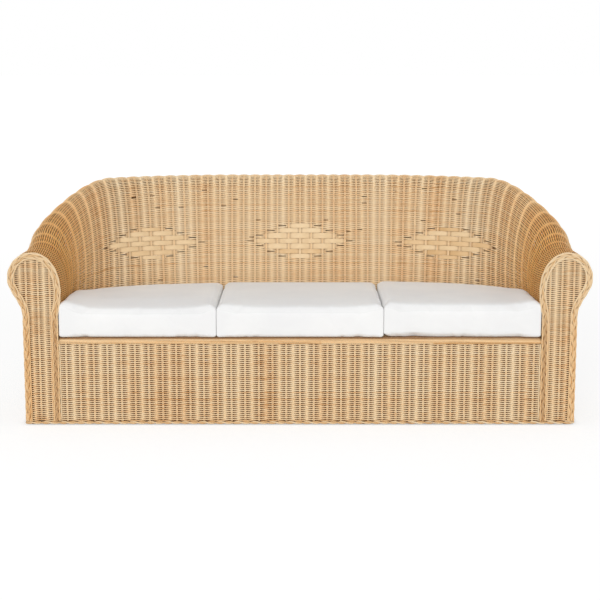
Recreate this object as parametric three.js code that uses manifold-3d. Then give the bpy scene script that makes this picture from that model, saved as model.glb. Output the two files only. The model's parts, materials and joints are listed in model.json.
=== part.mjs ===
// Woven rattan garden sofa with a rolled arm and back, and three loose seat cushions.
// Millimetres, +Z up, the front faces -Y, +X is on the right of someone looking at the front.
// Every piece is placed by its distance behind the front plane, and the whole is centred at the end.

import * as THREE from 'three';
import Module from 'manifold-3d';
import { mergeVertices } from 'three/addons/utils/BufferGeometryUtils.js';

const wasm = await Module();
wasm.setup();
const { lerp, smoothstep } = THREE.MathUtils;

// Seat opening in plan: straight arms, elliptical corners and a straight middle
const seatWidth = 1704;
const seatDepth = 556;
const backStraight = 500;
const cornerDepth = 310;
const deckUp = 318;

// Section through an arm. Out is measured from the inner wall, up from the floor, drop from the ridge,
// and the waist and the bulge lie at shares of the height from the seat deck to the ridge
const armSection = {
  waistShare: 0.2706,
  bulgeIn: 36,
  bulgeShare: 0.6865,
  crownHandle: 75,
  ridgeOut: 87,
  ridgeUp: 621,
  rollOut: 87,
  rollDrop: 93,
  underHandle: 48,
  neckDrop: 226,
  neckHandle: 50,
  wallOut: 124,
};

// The same section in the middle of the back, which leans away and ends in a tighter roll
const backSection = {
  waistShare: 0.1589,
  bulgeIn: -54,
  bulgeShare: 0.5465,
  crownHandle: 72,
  ridgeOut: 130,
  ridgeUp: 834,
  rollOut: 50,
  rollDrop: 55,
  underHandle: 38,
  neckDrop: 184,
  neckHandle: 50,
  wallOut: 157,
};

// Stretches of the seat line, from an arm's front to the middle of the back, over which the arm's
// section turns into the back's: the top line climbs, the wall leans away and the roll tightens
const riseShares = [0.104, 0.4355];
const leanShares = [0.2592, 0.7849];
const rollShares = [0.0341, 0.195];

// Woven skins
const skin = 10;
const panelThickness = 12;
const deckThickness = 10;
const ribPitch = 48.7;
const ribDepth = 2;
const weaveGap = 0.8;
const rollGap = 4;

// Rattan poles of the frame
const poleDiameter = 28;
const bearerDiameter = 22;
const bearerCount = 6;
const bearerEndGap = 152;
const stretcherSpacingShare = 0.27;
const armPostShare = 0.1381;
const cornerPostShare = 0.5;
const backPostShare = 0.84;

// Borders and the foot
const borderWidth = 25;
const borderProud = 6;
const borderEdge = 5;
const footGap = 3;
const footBorderHeight = 11;
const footBorderProud = 3;
const footBorderEdge = 2;
const wrapDrop = 6;
const wrapProud = 3;
const glideHeight = 6;
const glideDiameter = 26;

// Cushions
const centreCushionWidth = 590;
const cushionThickness = 104;
const cushionCrown = 9;
const cushionEdge = 14;
const cushionCorner = 32;
const cushionSag = 3;
const cushionEase = 15;
const cushionSetback = 3;
const coverThickness = 1.5;
const zipFlatEnd = 560;
const zipLength = 230;
const zipTapeHeight = 12;
const zipCoilWidth = 4;
const zipCoilProud = 1.8;
const sliderLength = 11;
const sliderWidth = 8;
const sliderProud = 4.4;
const pullWidth = 5;
const pullLength = 24;
const pullThickness = 1.2;

// Clearances, and the overrun of a cut
const jointGap = 0.3;
const overrun = 4;

// Fineness of the facets
const halfStationCount = 24;
const stationGatherShare = 0.8;
const saddleShare = 0.5;
const insideSteps = 8;
const rollSteps = 4;
const poleSides = 8;
const cornerSteps = 3;
const sideSteps = 5;

// Sizes that follow from those above
const halfSeat = seatWidth / 2;
const halfStraight = backStraight / 2;
const cornerRun = halfSeat - halfStraight;
const cornerStart = seatDepth - cornerDepth;
const poleRadius = poleDiameter / 2;
const bearerRadius = bearerDiameter / 2;
const poleInset = skin + weaveGap + poleRadius;
const railInset = skin + rollGap + poleRadius;
const framePlane = panelThickness + jointGap + poleRadius;
const deckUnderside = deckUp - deckThickness;
const seatRailUp = deckUnderside - jointGap - poleRadius;
const bearerUp = deckUnderside - jointGap - bearerRadius;
const footRailUp = glideHeight + jointGap + poleRadius;
const weaveFoot = footGap + footBorderHeight + jointGap;
const frontPanelTop = seatRailUp - wrapDrop;
const deckFront = framePlane + poleRadius;
const bearerSpacing = (seatWidth - 2 * bearerEndGap) / (bearerCount - 1);
const stretcherSpacing = stretcherSpacingShare * seatWidth;
const armEnd = withHeights(armSection);
const backMiddle = withHeights(backSection);
const rearmost = seatDepth + backSection.ridgeOut + backSection.rollOut;
const centreShift = (rearmost - borderProud) / 2;

const rattanPole = { color: 0xb98f5e, roughness: 0.6, metalness: 0 };
const rattanWeave = { color: 0xd0ac7a, roughness: 0.62, metalness: 0 };
const rattanBorder = { color: 0xdcc094, roughness: 0.58, metalness: 0 };
const cottonWhite = { color: 0xf3f3f1, roughness: 0.9, metalness: 0 };
const foamCream = { color: 0xe9e2c8, roughness: 0.95, metalness: 0 };
const zipWhite = { color: 0xe6e6e4, roughness: 0.55, metalness: 0 };
const zincGrey = { color: 0xb8babd, roughness: 0.35, metalness: 1 };
const nylonBrown = { color: 0x6b4f34, roughness: 0.5, metalness: 0 };

const sofa = new THREE.Group();
sofa.position.y = -centreShift;

function addPart(name, geometry, finish) {
  geometry.computeVertexNormals();
  const mesh = new THREE.Mesh(geometry, new THREE.MeshStandardMaterial(finish));
  mesh.name = name;
  sofa.add(mesh);
}

// Solids for joining and cutting

function toSolid(geometry) {
  const bare = geometry.clone();
  bare.deleteAttribute('normal');
  bare.deleteAttribute('uv');
  const merged = mergeVertices(bare);
  return new wasm.Manifold(new wasm.Mesh({
    numProp: 3,
    vertProperties: new Float32Array(merged.attributes.position.array),
    triVerts: new Uint32Array(merged.index.array),
  }));
}

function toGeometry(solid) {
  const mesh = solid.getMesh();
  const geometry = new THREE.BufferGeometry();
  geometry.setAttribute('position', new THREE.BufferAttribute(mesh.vertProperties, 3));
  geometry.setIndex(new THREE.BufferAttribute(mesh.triVerts, 1));
  return geometry;
}

function cut(geometry, ...tools) {
  return toGeometry(tools.reduce((solid, tool) => solid.subtract(toSolid(tool)), toSolid(geometry)));
}

function join(...geometries) {
  return toGeometry(geometries.map(toSolid).reduce((whole, solid) => whole.add(solid)));
}

// Lofts through rings of points

const at = (x, y, z) => new THREE.Vector3(x, y, z);

function capFaces(ring) {
  const facing = new THREE.Vector3();
  ring.forEach((point, i) => facing.add(point.clone().cross(ring[(i + 1) % ring.length])));
  const size = facing.clone().set(Math.abs(facing.x), Math.abs(facing.y), Math.abs(facing.z));
  let axes = ['x', 'y'];
  if (size.x > size.y && size.x > size.z) axes = ['y', 'z'];
  else if (size.y > size.z) axes = ['z', 'x'];
  const flat = ring.map((point) => new THREE.Vector2(point[axes[0]], point[axes[1]]));
  const turn = Math.sign(THREE.ShapeUtils.area(flat));
  return THREE.ShapeUtils.triangulateShape(flat, []).map(([a, b, c]) => {
    const same = Math.sign(THREE.ShapeUtils.area([flat[a], flat[b], flat[c]])) === turn;
    return same ? [a, b, c] : [a, c, b];
  });
}

function signedVolume(points, index) {
  let volume = 0;
  for (let i = 0; i < index.length; i += 3) {
    const [a, b, c] = [points[index[i]], points[index[i + 1]], points[index[i + 2]]];
    volume += a.dot(b.clone().cross(c));
  }
  return volume;
}

function bodyOf(points, index) {
  if (signedVolume(points, index) < 0) index.reverse();
  const geometry = new THREE.BufferGeometry().setFromPoints(points);
  geometry.setIndex(index);
  return geometry;
}

function wallFaces(rings, looped) {
  const count = rings[0].length;
  const total = rings.length * count;
  const index = [];
  for (let r = 0; r < rings.length - (looped ? 0 : 1); r++) {
    for (let i = 0; i < count; i++) {
      const a = r * count + i;
      const b = r * count + (i + 1) % count;
      const [c, d] = [(a + count) % total, (b + count) % total];
      index.push(a, b, d, a, d, c);
    }
  }
  return index;
}

// A ring-shaped body whose last ring joins its first
function loftRound(rings) {
  return bodyOf(rings.flat(), wallFaces(rings, true));
}

// A closed body whose walls join one ring to the next. Its ends are capped flat, or drawn to two tips.
function loft(rings, tips = []) {
  const count = rings[0].length;
  const points = [...rings.flat(), ...tips];
  const index = wallFaces(rings, false);
  const last = (rings.length - 1) * count;
  const capOf = (ring, tip) => (tips.length ? ring.map((_, i) => [i, (i + 1) % count, tip]) : capFaces(ring));
  const firstTip = rings.length * count;
  for (const [a, b, c] of capOf(rings[0], firstTip)) index.push(b, a, c);
  for (const [a, b, c] of capOf(rings.at(-1), firstTip + 1 - last)) index.push(last + a, last + b, last + c);
  return bodyOf(points, index);
}

// Moves each point of a line to the right of its course, or inward on a closed anticlockwise one's left
function offsetLine(points, distance, closed = false) {
  const last = points.length - 1;
  const rightOf = (from, to) => new THREE.Vector2(to.y - from.y, from.x - to.x).normalize();
  return points.map((point, i) => {
    const before = i > 0 ? points[i - 1] : closed && points[last];
    const after = i < last ? points[i + 1] : closed && points[0];
    const arriving = rightOf(before || point, before ? point : after);
    const leaving = rightOf(after ? point : before, after || point);
    const normal = arriving.clone().add(leaving).normalize();
    return point.clone().addScaledVector(normal, distance / normal.dot(leaving));
  });
}

// Seat line and section

const seatLine = new THREE.Path();
seatLine.moveTo(-halfSeat, 0);
seatLine.lineTo(-halfSeat, cornerStart);
seatLine.absellipse(-halfStraight, cornerStart, cornerRun, cornerDepth, Math.PI, Math.PI / 2, true);
seatLine.lineTo(halfStraight, seatDepth);
seatLine.absellipse(halfStraight, cornerStart, cornerRun, cornerDepth, Math.PI / 2, 0, true);
seatLine.lineTo(halfSeat, 0);
const seatLineLength = seatLine.getLength();
const halfLength = seatLineLength / 2;

// A plane square to the seat line, at a run from the left arm's front
function stationAt(run) {
  const share = run / seatLineLength;
  const point = seatLine.getPoint(share);
  const along = seatLine.getTangent(share);
  const nearRun = Math.min(run, seatLineLength - run);
  const place = (out, up) => new THREE.Vector3(point.x - along.y * out, point.y + along.x * out, up);
  return { run, point, section: sectionAt(nearRun), place };
}

// A section with the heights that follow from its ridge
function withHeights(section) {
  const heightAt = (share) => lerp(deckUp, section.ridgeUp, share);
  return {
    ...section,
    waistUp: heightAt(section.waistShare),
    bulgeUp: heightAt(section.bulgeShare),
    neckUp: section.ridgeUp - section.neckDrop,
  };
}

function sectionAt(run) {
  const along = (shares) => smoothstep(run, ...shares.map((share) => share * halfLength));
  const [rise, lean, tighten] = [riseShares, leanShares, rollShares].map(along);
  const changeOf = (key) => (key.endsWith('Up') ? rise : key.startsWith('roll') ? tighten : lean);
  const blend = (key) => lerp(armEnd[key], backMiddle[key], changeOf(key));
  return Object.fromEntries(Object.keys(armEnd).map((key) => [key, blend(key)]));
}

// From the foot of the inner wall over the ridge and round the roll to the neck below it
function rollProfile(section, foot) {
  const { waistUp, bulgeIn, bulgeUp, crownHandle, ridgeOut, ridgeUp } = section;
  const { rollOut, rollDrop, underHandle, neckUp, neckHandle, wallOut } = section;
  const flat = (out, up) => new THREE.Vector2(out, up);
  const browOut = ridgeOut + rollOut;
  const browUp = ridgeUp - rollDrop;
  const inside = new THREE.CubicBezierCurve(
    flat(0, waistUp), flat(-bulgeIn, bulgeUp), flat(ridgeOut - crownHandle, ridgeUp), flat(ridgeOut, ridgeUp));
  const over = new THREE.EllipseCurve(ridgeOut, browUp, rollOut, rollDrop, Math.PI / 2, 0, true);
  const under = new THREE.CubicBezierCurve(
    flat(browOut, browUp), flat(browOut, browUp - underHandle), flat(wallOut, neckUp + neckHandle),
    flat(wallOut, neckUp));
  return [
    flat(0, foot),
    ...inside.getPoints(insideSteps),
    ...over.getPoints(rollSteps).slice(1),
    ...under.getPoints(rollSteps).slice(1),
  ];
}

// Stations lie closer together toward the arms, where the plan turns tightest
const stations = [];
for (let k = -halfStationCount; k <= halfStationCount; k++) {
  const share = 1 - Math.abs(k) / halfStationCount;
  const gathered = (share + stationGatherShare * share * share) / (1 + stationGatherShare);
  const run = lerp(panelThickness + jointGap, halfLength, gathered);
  stations.push(stationAt(k < 0 ? run : seatLineLength - run));
}

// Woven skins

addPart('inner_weave', loft(stations.map(({ section, place }) => {
  const face = rollProfile(section, deckUnderside);
  const lining = offsetLine(face, skin).reverse();
  return [...face, ...lining].map((p) => place(p.x, p.y));
})), rattanWeave);

addPart('outer_weave', loft(stations.map(({ section, place }) => {
  const top = section.neckUp - jointGap;
  const { wallOut } = section;
  return [
    place(wallOut, weaveFoot), place(wallOut, top), place(wallOut - skin, top),
    place(wallOut - skin, weaveFoot),
  ];
})), rattanWeave);

// The front panel's stakes stand proud as upright ribs
function ribbedPanel(halfWidth, bottom, top) {
  const ribCount = Math.round(2 * halfWidth / ribPitch);
  const pitch = 2 * halfWidth / ribCount;
  const shape = new THREE.Shape();
  shape.moveTo(-halfWidth, panelThickness);
  for (let i = 0; i < ribCount; i++) {
    const left = -halfWidth + i * pitch;
    shape.lineTo(left, ribDepth);
    shape.lineTo(left + pitch / 4, ribDepth / 2);
    shape.lineTo(left + pitch / 2, 0);
    shape.lineTo(left + pitch * 3 / 4, ribDepth / 2);
  }
  shape.lineTo(halfWidth, ribDepth);
  shape.lineTo(halfWidth, panelThickness);
  const panel = new THREE.ExtrudeGeometry(shape, { depth: top - bottom, bevelEnabled: false });
  return panel.translate(0, 0, bottom);
}
addPart('front_panel_weave', ribbedPanel(halfSeat - jointGap, weaveFoot, frontPanelTop - jointGap), rattanWeave);

// The seat deck fills the seat line behind the wrapped front rail
const deckShape = new THREE.Shape([
  new THREE.Vector2(-halfSeat + jointGap, deckFront + jointGap),
  ...stations.filter((s) => s.point.y > deckFront + overrun)
    .map(({ place }) => place(-jointGap, 0)).map((p) => new THREE.Vector2(p.x, p.y)),
  new THREE.Vector2(halfSeat - jointGap, deckFront + jointGap),
]);
const deck = new THREE.ExtrudeGeometry(deckShape, { depth: deckThickness, bevelEnabled: false });
addPart('seat_deck', deck.translate(0, 0, deckUnderside), rattanWeave);

// The strands wrapped over the front seat rail, drawn as their section and swept across the seat
function frontRailWrap() {
  const halfLengthAcross = halfSeat - jointGap;
  const innerRadius = poleRadius + jointGap;
  const dip = Math.asin(wrapDrop / innerRadius);
  const reach = framePlane + wrapProud;
  const rise = deckUp - seatRailUp;
  const outerDip = Math.asin(wrapDrop / rise);
  const shape = new THREE.Shape();
  shape.absellipse(framePlane, seatRailUp, reach, rise, Math.PI + outerDip, Math.PI / 2, true);
  shape.lineTo(deckFront, deckUp);
  shape.lineTo(deckFront, deckUnderside);
  shape.absarc(framePlane, seatRailUp, innerRadius, Math.PI / 2, Math.PI + dip, false);
  const band = new THREE.ExtrudeGeometry(shape, {
    depth: 2 * halfLengthAcross, bevelEnabled: false, curveSegments: rollSteps,
  });
  band.translate(0, 0, -halfLengthAcross);
  band.applyMatrix4(new THREE.Matrix4().makeBasis(
    new THREE.Vector3(0, 1, 0), new THREE.Vector3(0, 0, 1), new THREE.Vector3(1, 0, 0)));
  return band;
}
addPart('front_rail_wrap', frontRailWrap(), rattanBorder);

// The plaited border along the floor, a rounded section led round the whole plan
function footBorder() {
  const [low, high] = [footGap, footGap + footBorderHeight];
  const [inner, outer] = [-skin, footBorderProud];
  const section = [
    [inner, low], [outer - footBorderEdge, low], [outer, low + footBorderEdge],
    [outer, high - footBorderEdge], [outer - footBorderEdge, high], [inner, high],
  ];
  const frontCorner = (side) => section.map(([out, up]) => (
    at(side * (halfSeat + armSection.wallOut + out), -out, up)));
  return loftRound([
    frontCorner(-1),
    ...stations.map((station) => section.map(([out, up]) => station.place(station.section.wallOut + out, up))),
    frontCorner(1),
  ]);
}
addPart('foot_border', footBorder(), rattanBorder);

// Arm fronts

// The keyhole outline of an arm's front, from the floor at the seat to the floor outside
function armOutline(foot) {
  return [...rollProfile(armEnd, foot), new THREE.Vector2(armEnd.wallOut, foot)];
}

// Sweeps a section, given as inset from the outline and depth behind the front, round an arm's front
function roundArm(side, outline, section) {
  const rings = outline.map(() => []);
  for (const [inset, depth] of section) {
    offsetLine(outline, inset).forEach((p, i) => {
      rings[i].push(new THREE.Vector3(side * (halfSeat + p.x), depth, p.y));
    });
  }
  return loft(rings);
}

const borderSection = [
  [0, panelThickness],
  [0, borderEdge - borderProud],
  [borderEdge, -borderProud],
  [borderWidth - borderEdge, -borderProud],
  [borderWidth, borderEdge - borderProud],
  [borderWidth, panelThickness],
];

function armPanel(side) {
  const line = offsetLine(armOutline(weaveFoot), borderWidth + jointGap);
  const shape = new THREE.Shape(line.map((p) => new THREE.Vector2(side * (halfSeat + p.x), p.y)));
  const panel = new THREE.ExtrudeGeometry(shape, { depth: panelThickness, bevelEnabled: false });
  panel.rotateX(Math.PI / 2);
  return panel.translate(0, panelThickness, 0);
}

for (const [name, side] of [['left', -1], ['right', 1]]) {
  addPart(`${name}_arm_panel`, armPanel(side), rattanWeave);
  addPart(`${name}_arm_border`, roundArm(side, armOutline(weaveFoot), borderSection), rattanBorder);
}

// Frame of rattan poles

function circleAt(radius, place) {
  const ring = [];
  for (let i = 0; i < poleSides; i++) {
    const angle = 2 * Math.PI * i / poleSides;
    ring.push(place(radius * Math.cos(angle), radius * Math.sin(angle)));
  }
  return ring;
}

// A pole between the centre lines of the two poles that it meets, stopped short by a share of their radius
function straightPole(fromLine, toLine, saddle = saddleShare) {
  const along = toLine.clone().sub(fromLine).normalize();
  const from = fromLine.clone().addScaledVector(along, poleRadius * saddle);
  const to = toLine.clone().addScaledVector(along, -poleRadius * saddle);
  return (radius) => {
    const upright = Math.abs(along.z) > Math.SQRT1_2;
    const reference = upright ? new THREE.Vector3(1, 0, 0) : new THREE.Vector3(0, 0, 1);
    const across = along.clone().cross(reference).normalize();
    const over = across.clone().cross(along);
    const ringAt = (end) => circleAt(radius, (a, b) => (
      end.clone().addScaledVector(across, a).addScaledVector(over, b)));
    return loft([ringAt(from), ringAt(to)]);
  };
}

// A bent pole that follows the seat line at an offset and height taken from each section
function hoop(outOf, upOf, startRun = framePlane, endRun = seatLineLength - framePlane) {
  const rings = [stationAt(startRun), ...stations.filter(({ run }) => run > startRun && run < endRun),
    stationAt(endRun)];
  return (radius) => loft(rings.map(({ section, place }) => (
    circleAt(radius, (a, b) => place(outOf(section) + a, upOf(section) + b)))));
}

function armHoop(side) {
  return (radius) => roundArm(side, armOutline(footRailUp), circleAt(radius, (a, b) => (
    [poleInset + a, framePlane + b])));
}

// Each pole is coped to the poles that it ends on, which run through
const poles = {};
function addPole(name, shapeOf, radius, seats = []) {
  const fatSeats = seats.map((seat) => poles[seat].shapeOf(poles[seat].radius + jointGap));
  poles[name] = { shapeOf, radius };
  addPart(name, cut(shapeOf(radius), ...fatSeats), rattanPole);
}

const footRailOut = (section) => section.wallOut - poleInset;
const topRailUp = (section) => section.ridgeUp - railInset;
const rollRailOut = (section) => section.ridgeOut + section.rollOut - railInset;
const rollRailUp = (section) => section.ridgeUp - section.rollDrop;
const outerLeg = halfSeat + footRailOut(armSection);
const innerLeg = halfSeat + poleInset;

const footRailEnd = outerLeg + poleRadius;
addPole('front_foot_rail', straightPole(
  at(-footRailEnd, framePlane, footRailUp), at(footRailEnd, framePlane, footRailUp), 0), poleRadius);
const footRail = (startRun, endRun) => hoop(footRailOut, () => footRailUp, startRun, endRun);
const sideRailEnd = cornerStart - jointGap;
const bendEnd = halfLength - halfStraight - jointGap;
addPole('left_foot_rail', footRail(framePlane, sideRailEnd), poleRadius, ['front_foot_rail']);
addPole('right_foot_rail', footRail(seatLineLength - sideRailEnd, seatLineLength - framePlane),
  poleRadius, ['front_foot_rail']);
addPole('left_bent_foot_rail', footRail(cornerStart, bendEnd), poleRadius);
addPole('right_bent_foot_rail', footRail(seatLineLength - bendEnd, seatLineLength - cornerStart), poleRadius);
addPole('back_foot_rail', footRail(halfLength - halfStraight, halfLength + halfStraight), poleRadius);
const footRails = [
  'left_foot_rail', 'right_foot_rail', 'left_bent_foot_rail', 'right_bent_foot_rail', 'back_foot_rail',
];
for (const [name, side] of [['left', -1], ['right', 1]]) {
  addPole(`${name}_arm_hoop`, armHoop(side), poleRadius, ['front_foot_rail', ...footRails]);
}
const armHoops = ['left_arm_hoop', 'right_arm_hoop'];
addPole('top_rail', hoop((section) => section.ridgeOut, topRailUp), poleRadius, armHoops);
addPole('roll_rail', hoop(rollRailOut, rollRailUp), poleRadius, armHoops);
addPole('front_seat_rail', straightPole(
  at(-innerLeg, framePlane, seatRailUp), at(innerLeg, framePlane, seatRailUp)), poleRadius, armHoops);
addPole('seat_rail_hoop', hoop(() => 0, () => seatRailUp), poleRadius, ['front_seat_rail', ...armHoops]);

// Uprights stand on the foot rail inside the wall and carry the top rail
const uprights = [
  ['arm_post', armPostShare],
  ['corner_post', cornerPostShare],
  ['back_post', backPostShare],
];
for (const [name, share] of uprights) {
  const run = share * halfLength;
  for (const [sideName, place] of [['left', run], ['right', seatLineLength - run]]) {
    const station = stationAt(place);
    const foot = station.place(footRailOut(station.section), footRailUp);
    const head = station.place(station.section.ridgeOut, topRailUp(station.section));
    addPole(`${sideName}_${name}`, straightPole(foot, head), poleRadius,
      [...footRails, 'top_rail', 'roll_rail']);
  }
}

// Legs and floor stretchers carry the seat between the arms
const rearRailDepth = seatDepth + footRailOut(backSection);
for (const [name, side] of [['left', -1], ['right', 1]]) {
  const x = side * stretcherSpacing / 2;
  const stretcher = `${name}_floor_stretcher`;
  addPole(stretcher, straightPole(at(x, framePlane, footRailUp), at(x, rearRailDepth, footRailUp)),
    poleRadius, ['front_foot_rail', 'back_foot_rail']);
  addPole(`${name}_front_leg`, straightPole(at(x, framePlane, footRailUp), at(x, framePlane, seatRailUp)),
    poleRadius, ['front_foot_rail', 'front_seat_rail', stretcher]);
  addPole(`${name}_back_leg`, straightPole(at(x, seatDepth, footRailUp), at(x, seatDepth, seatRailUp)),
    poleRadius, [stretcher, 'seat_rail_hoop']);
}

// Depth of the seat line at a place across the seat
function seatLineDepth(x) {
  const past = Math.max(0, Math.abs(x) - halfStraight) / cornerRun;
  return cornerStart + cornerDepth * Math.sqrt(1 - past * past);
}
for (let i = 0; i < bearerCount; i++) {
  const x = (i - (bearerCount - 1) / 2) * bearerSpacing;
  addPole(`seat_bearer_${i + 1}`, straightPole(at(x, framePlane, bearerUp), at(x, seatLineDepth(x), bearerUp)),
    bearerRadius, ['front_seat_rail', 'seat_rail_hoop']);
}

// Glides under the foot rails keep the weave off the ground
const rearGlides = [cornerPostShare, backPostShare].map((share) => {
  const station = stationAt(share * halfLength);
  return station.place(footRailOut(station.section), 0);
});
const glidePlaces = [
  ['outer_front', at(-outerLeg, framePlane, 0)],
  ['inner_front', at(-stretcherSpacing / 2, framePlane, 0)],
  ['corner', rearGlides[0]],
  ['back', rearGlides[1]],
];
for (const [sideName, side] of [['left', 1], ['right', -1]]) {
  for (const [place, point] of glidePlaces) {
    const glide = new THREE.CylinderGeometry(glideDiameter / 2, glideDiameter / 2, glideHeight, 2 * poleSides);
    glide.rotateX(Math.PI / 2).translate(side * point.x, point.y, glideHeight / 2);
    addPart(`${sideName}_${place}_glide`, glide, nylonBrown);
  }
}

// Cushions

// The points of one side, drawn in by the seams in its middle, without its end point
function softSide(from, to, sag, steps = sideSteps) {
  const inward = new THREE.Vector2(from.y - to.y, to.x - from.x).normalize();
  const points = [];
  for (let i = 0; i < steps; i++) {
    const share = i / steps;
    const point = from.clone().lerp(to, share);
    points.push(point.addScaledVector(inward, sag * Math.sin(Math.PI * share)));
  }
  return points;
}

// The points that round a corner, from one side to the next, without the last
function softCorner(before, corner, after) {
  const from = corner.clone().add(before.clone().sub(corner).setLength(cushionCorner));
  const to = corner.clone().add(after.clone().sub(corner).setLength(cushionCorner));
  const bend = new THREE.QuadraticBezierCurve(from, corner, to);
  return { from, to, points: bend.getPoints(cornerSteps).slice(0, -1) };
}

const cushionFoot = deckUp + jointGap;
const cushionSide = halfSeat - cushionEase;
const cushionBack = seatDepth - cushionEase;
const seam = centreCushionWidth / 2;

// Outlines run anticlockwise seen from above
function centreOutline() {
  const half = seam - jointGap;
  const corners = [
    new THREE.Vector2(-half, cushionSetback), new THREE.Vector2(half, cushionSetback),
    new THREE.Vector2(half, cushionBack), new THREE.Vector2(-half, cushionBack),
  ];
  const rounds = corners.map((corner, i) => softCorner(corners[(i + 3) % 4], corner, corners[(i + 1) % 4]));
  return rounds.flatMap((round, i) => [
    ...round.points,
    ...softSide(round.to, rounds[(i + 1) % 4].from, i === 2 ? 0 : cushionSag),
  ]);
}

// The zip's flat at the back of a side cushion, from its inner corner toward the arm
const flatInner = new THREE.Vector2(seam + jointGap, cushionBack);
const flatOuter = new THREE.Vector2(zipFlatEnd, seatLineDepth(zipFlatEnd) - cushionEase);

function rightOutline() {
  const frontInner = new THREE.Vector2(seam + jointGap, cushionSetback);
  const frontOuter = new THREE.Vector2(cushionSide, cushionSetback);
  const armPoint = new THREE.Vector2(cushionSide, cornerStart);
  const bend = stations
    .map(({ place }) => place(-cushionEase, 0))
    .filter((p) => p.x > flatOuter.x + cushionCorner && p.y > cornerStart + cushionCorner)
    .map((p) => new THREE.Vector2(p.x, p.y))
    .reverse();
  const first = softCorner(flatInner, frontInner, frontOuter);
  const second = softCorner(frontInner, frontOuter, armPoint);
  const third = softCorner(flatOuter, flatInner, frontInner);
  return [
    ...first.points,
    ...softSide(first.to, second.from, cushionSag),
    ...second.points,
    ...softSide(second.to, armPoint, cushionSag, 3),
    armPoint,
    ...bend,
    ...softSide(flatOuter, third.from, 0, 3),
    ...third.points,
    ...softSide(third.to, first.from, cushionSag),
  ];
}

// A box cushion lofted from its outline: rounded edges, upright sides and a crowned top
function pillow(outline, foot, top, inset, edge, crown) {
  const centre = outline.reduce((sum, p) => sum.add(p), new THREE.Vector2()).divideScalar(outline.length);
  const ringAt = (drawnIn, up, share = 1) => offsetLine(outline, -inset - drawnIn, true)
    .map((p) => new THREE.Vector3(lerp(centre.x, p.x, share), lerp(centre.y, p.y, share), up));
  const bevel = edge * (1 - Math.SQRT1_2);
  const crownShares = [0.78, 0.45];
  return loft([
    ringAt(edge, foot),
    ringAt(bevel, foot + bevel),
    ringAt(0, foot + edge),
    ringAt(0, top - edge),
    ringAt(bevel, top - bevel),
    ringAt(edge, top),
    ...crownShares.map((share) => ringAt(edge, top + crown * (1 - share * share), share)),
  ], [at(centre.x, centre.y, foot), at(centre.x, centre.y, top + crown)]);
}

function boxAt(length, depth, height, centre) {
  return new THREE.BoxGeometry(length, depth, height).translate(centre.x, centre.y, centre.z);
}

// Cover, foam core, zip and slider of one cushion. The zip lies along the flat of the back.
function addCushion(name, outline, flatStart, flatEnd) {
  const top = cushionFoot + cushionThickness;
  const wall = coverThickness;
  const shell = pillow(outline, cushionFoot, top, 0, cushionEdge, cushionCrown);
  const cavity = pillow(outline, cushionFoot + wall, top - wall, wall, cushionEdge - wall, cushionCrown);
  const coreInset = wall + jointGap;
  const core = pillow(
    outline, cushionFoot + coreInset, top - coreInset, coreInset, cushionEdge - coreInset, cushionCrown);

  const middle = flatStart.clone().lerp(flatEnd, 0.5);
  const angle = Math.atan2(flatEnd.y - flatStart.y, flatEnd.x - flatStart.x);
  const seat = new THREE.Matrix4().makeRotationZ(angle)
    .setPosition(middle.x, middle.y, cushionFoot + cushionThickness / 2);
  const onFlat = (geometry) => geometry.applyMatrix4(seat);

  const slot = boxAt(zipLength, 2 * wall + jointGap, zipTapeHeight, at(0, 0, 0));
  const tape = boxAt(zipLength - 2 * jointGap, wall, zipTapeHeight - 2 * jointGap, at(0, -wall / 2, 0));
  const coilStart = at(0, zipCoilProud / 2 - jointGap, 0);
  const coil = boxAt(zipLength - 2 * zipCoilWidth, zipCoilProud + 2 * jointGap, zipCoilWidth, coilStart);
  const sliderX = zipLength / 2 - zipCoilWidth - sliderLength;
  const block = boxAt(sliderLength, sliderProud, sliderWidth, at(sliderX, jointGap + sliderProud / 2, 0));
  const channel = boxAt(
    sliderLength + overrun, zipCoilProud + jointGap + overrun, zipCoilWidth + 2 * jointGap,
    at(sliderX, (zipCoilProud + jointGap - overrun) / 2 + jointGap, 0));
  const pull = boxAt(pullWidth, pullThickness, pullLength,
    at(sliderX, jointGap + sliderProud - pullThickness / 2, -pullLength / 2));

  addPart(`${name}_cushion_cover`, cut(shell, cavity, onFlat(slot)), cottonWhite);
  addPart(`${name}_cushion_core`, core, foamCream);
  addPart(`${name}_cushion_zip`, onFlat(join(tape, coil)), zipWhite);
  addPart(`${name}_zip_slider`, onFlat(join(cut(block, channel), pull)), zincGrey);
}

const mirrored = (outline) => outline.map((p) => new THREE.Vector2(-p.x, p.y)).reverse();
const flip = (p) => new THREE.Vector2(-p.x, p.y);
addCushion('left', mirrored(rightOutline()), flip(flatOuter), flip(flatInner));
addCushion('centre', centreOutline(), new THREE.Vector2(-seam, cushionBack), new THREE.Vector2(seam, cushionBack));
addCushion('right', rightOutline(), flatInner, flatOuter);

export default sofa;
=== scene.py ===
# Rattan garden sofa: round-core weave, plaited borders, pole frame and three loose cushions,
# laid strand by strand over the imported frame. Metres, the front faces -Y.

import json
import math

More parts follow.
